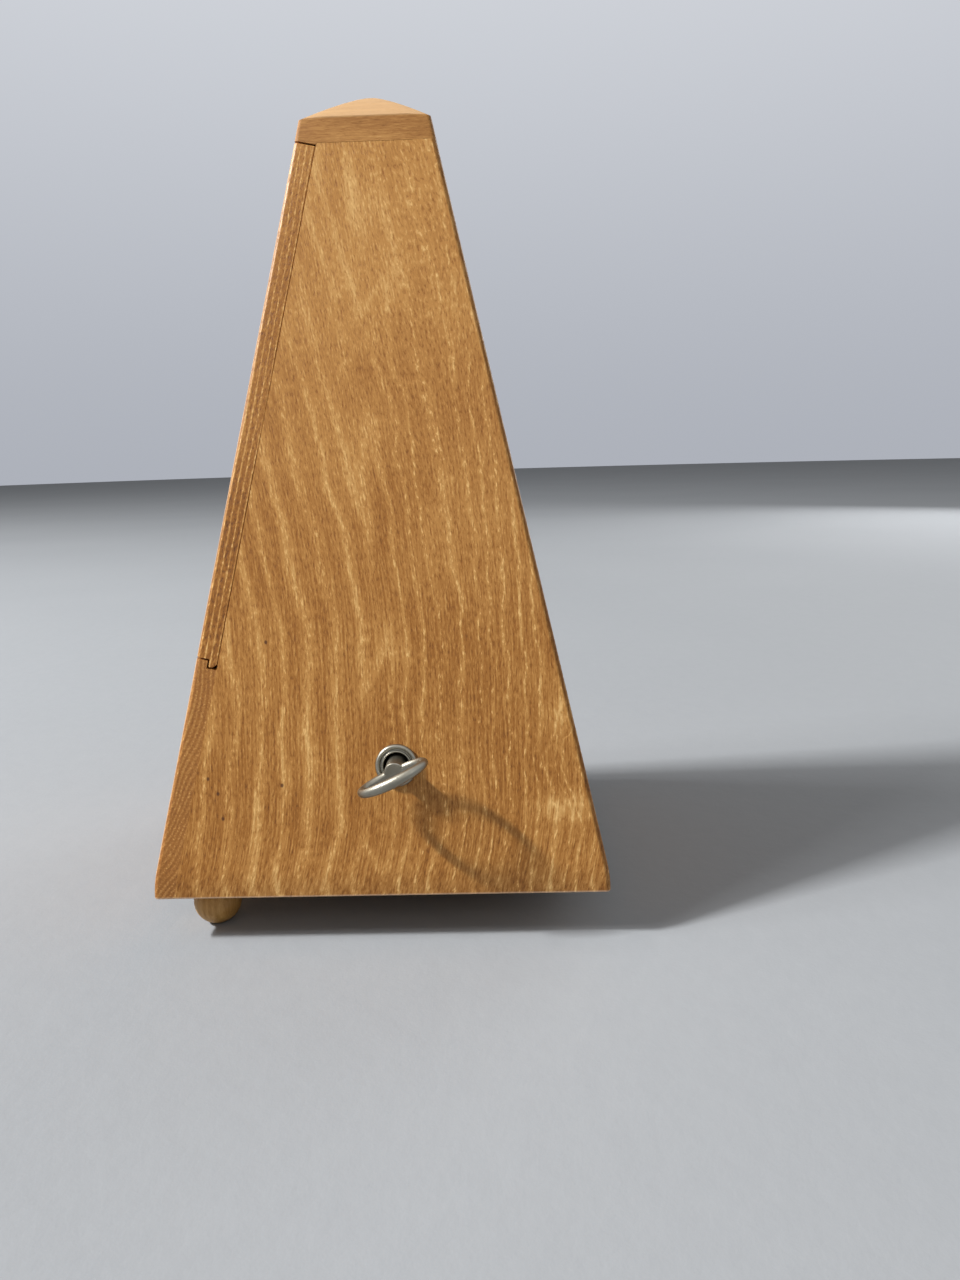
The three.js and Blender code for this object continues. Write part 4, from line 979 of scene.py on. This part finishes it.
def screws(material):
    """Four screws hold the movement down, and one goes up into the cap. No two slots stand alike."""
    for i in range(4):
        node = f"plate_screw_{i + 1}"
        low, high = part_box(node)
        middle = (low + high) / 2
        turn = Matrix.Rotation(0.7 + 1.3 * i, 4, "Z")
        place = Matrix.Translation((middle.x, middle.y, high.z - screw_rise * MM)) @ turn
        slotted_screw(node, place, material, (high.x - low.x) / 2 / MM)
    low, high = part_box("catch_screw")
    middle = (low + high) / 2
    turn = Matrix.Rotation(math.pi, 4, "X") @ Matrix.Rotation(0.5, 4, "Z")
    place = Matrix.Translation((middle.x, middle.y, low.z + screw_rise * MM)) @ turn
    slotted_screw("catch_screw", place, material, (high.x - low.x) / 2 / MM)


# ---- Everything else that the frame holds, cleaned up and finished ----

def movement_pieces(brass, brass_wheel, steel, steel_arbor, blued):
    """The pieces that need no new shape, each with its edges' easing and its finish."""
    eased = {
        "movement_plate_left": (0.25, brass),
        "movement_plate_right": (0.25, brass),
        "front_bridge": (0.2, brass),
        "rear_cock": (0.2, brass),
        "scale_plate": (0.12, brass),
        "sliding_weight": (0.5, brass),
        "rod_collet": (0.3, brass_wheel),
        "door_strike": (0.12, steel),
        "door_catch": (0, steel),
        "weight_spring": (0, steel),
        "front_pallet": (0.1, steel),
        "rear_pallet": (0.1, steel),
        "click": (0.15, steel),
        "click_screw": (0, steel_arbor),
        "ratchet_wheel": (0, steel),
        "mainspring": (0, blued),
        "winding_arbor": (0, steel_arbor),
        "intermediate_arbor": (0, steel_arbor),
        "escape_arbor": (0, steel_arbor),
        "pendulum_arbor": (0, steel_arbor),
        "great_wheel": (0, brass_wheel),
        "intermediate_wheel": (0, brass_wheel),
        "escape_wheel": (0, brass_wheel),
        "barrel_drum": (0, brass_wheel),
        "rod_keeper": (0, brass),
        "scale_pin_low": (0, brass),
        "scale_pin_high": (0, brass),
        "pillar_1": (0, brass_wheel),
        "pillar_2": (0, brass_wheel),
        "pillar_3": (0, brass_wheel),
        "pillar_4": (0, brass_wheel),
    }
    for node, (ease, material) in eased.items():
        stands_for(refined(node, ease=ease), node, material)


def build():
    case_boards()
    inner_boards()
    feet()
    winding_key()
    key_ferrule()
    brass = metal_finish("brass_plate", tone(214, 182, 116), tone(168, 130, 72), 0.3, brush=(0, 0.3, 1))
    brass_wheel = metal_finish("brass_turned", tone(220, 188, 118), tone(176, 138, 76), 0.24)
    steel = metal_finish("steel_sheet", tone(190, 191, 194), tone(140, 140, 142), 0.3, brush=up_slope)
    steel_arbor = metal_finish("steel_turned", tone(196, 197, 200), tone(146, 146, 150), 0.22)
    blued = metal_finish("steel_spring", tone(92, 98, 118), tone(62, 62, 74), 0.3)
    scale_print(ink_finish("black_enamel"))
    pendulum_rod(steel)
    pendulum_bob(iron_finish("cast_iron"))
    screws(steel_arbor)
    movement_pieces(brass, brass_wheel, steel, steel_arbor, blued)


# ---- Floor, light and camera, placed in metres ----

floor_radius = 6
floor_tones = (168, 171, 174), (156, 159, 163)
lit_place = (cad_box[0] + cad_box[1]) / 2
window_side = (0.196, -0.726, 0.659)

# Each lamp: the way towards it, its distance, width and height, and its radiance. The window is
# brightest in its middle.
lamps = {
    "window": (window_side, 2.6, 0.28, 0.06, 1.09),
    "window_ends": (window_side, 2.6, 1.08, 0.1, 0.51),
    "room": ((0.85, 0.25, 0.46), 1.6, 0.9, 0.7, 0.07),
    "fill": ((-0.74, 0.6, 0.3), 1.6, 0.9, 0.9, 0.33),
}

# The sky, from just below the horizon up: the light that it sheds, and the tones that are seen.
sky_rise = (-0.1, 0.9)
sky_light = (0.08, 0.083, 0.09, 1), (0.21, 0.21, 0.21, 1)
sky_tones = (172, 176, 185), (236, 239, 244)

camera_place = (0.2968, 0.0344, 0.1150)
camera_yaw, camera_pitch, camera_roll = (math.radians(angle) for angle in (1.53, 11.18, -1.66))
focal_length = 27.14
film_width = 36


def stage():
    bpy.ops.object.select_all(action="DESELECT")
    place = (0, 0, floor_height)
    bpy.ops.mesh.primitive_circle_add(vertices=96, radius=floor_radius, fill_type="NGON", location=place)
    floor = bpy.context.object
    floor.name = "floor"
    g = Finish("pale_floor")
    cloud = g.noise(g.place, 0.004, 3)
    grit = g.noise(g.place, 0.12, 4, 0.65)
    paint = g.finish(
        Base_Color=g.mix(cloud * 0.6 + grit * 0.4 + 0.5, *(tone(*colour) for colour in floor_tones)),
        Roughness=0.9,
        Specular_IOR_Level=0.25,
        Normal=g.bump(grit, 0.2),
    )
    coat(floor, paint)


def lamp(name, toward, distance, width, height, radiance):
    """An oblong lamp. A white surface that faces it looks as bright as the radiance."""
    light = bpy.data.lights.new(name, "AREA")
    light.shape = "RECTANGLE"
    light.size = width
    light.size_y = height
    light.energy = radiance * (math.pi * distance) ** 2
    holder = bpy.data.objects.new(name, light)
    bpy.context.scene.collection.objects.link(holder)
    direction = Vector(toward).normalized()
    holder.location = lit_place + direction * distance
    holder.rotation_euler = direction.to_track_quat("Z", "Y").to_euler()


def studio():
    for name, values in lamps.items():
        lamp(name, *values)
    world = bpy.data.worlds.new("studio")
    bpy.context.scene.world = world
    world.use_nodes = True
    g = Graph(world.node_tree)
    towards = g.node("ShaderNodeTexCoord", {}, {}, output="Generated")
    up = g.node("ShaderNodeSeparateXYZ", {}, {0: towards}, output=2)
    lift = g.smooth(up, *sky_rise)
    seen = g.mix(lift, *(tone(*colour) for colour in sky_tones))
    light = g.mix(lift, *sky_light)
    rays = "ShaderNodeLightPath"
    camera_ray = g.node(rays, {}, {}, output="Is Camera Ray")
    glossy_ray = g.node(rays, {}, {}, output="Is Glossy Ray")
    clear_ray = g.node(rays, {}, {}, output="Is Transmission Ray")
    shown = camera_ray.maths("MAXIMUM", glossy_ray).maths("MAXIMUM", clear_ray)
    sky = g.node("ShaderNodeBackground", {}, {"Color": g.mix(shown, light, seen), "Strength": 1.0})
    g.node("ShaderNodeOutputWorld", {}, {"Surface": sky})


def camera():
    lens = bpy.data.cameras.new("camera")
    lens.lens = focal_length
    lens.sensor_width = film_width
    holder = bpy.data.objects.new("camera", lens)
    bpy.context.scene.collection.objects.link(holder)
    turn = Matrix.Rotation(math.pi / 2 + camera_yaw, 4, "Z")
    tilt = Matrix.Rotation(math.pi / 2 - camera_pitch, 4, "X")
    aim = turn @ tilt @ Matrix.Rotation(camera_roll, 4, "Z")
    holder.matrix_world = Matrix.Translation(camera_place) @ aim
    bpy.context.scene.camera = holder
    bpy.context.scene.view_settings.view_transform = "Standard"


build()
stage()
studio()
camera()
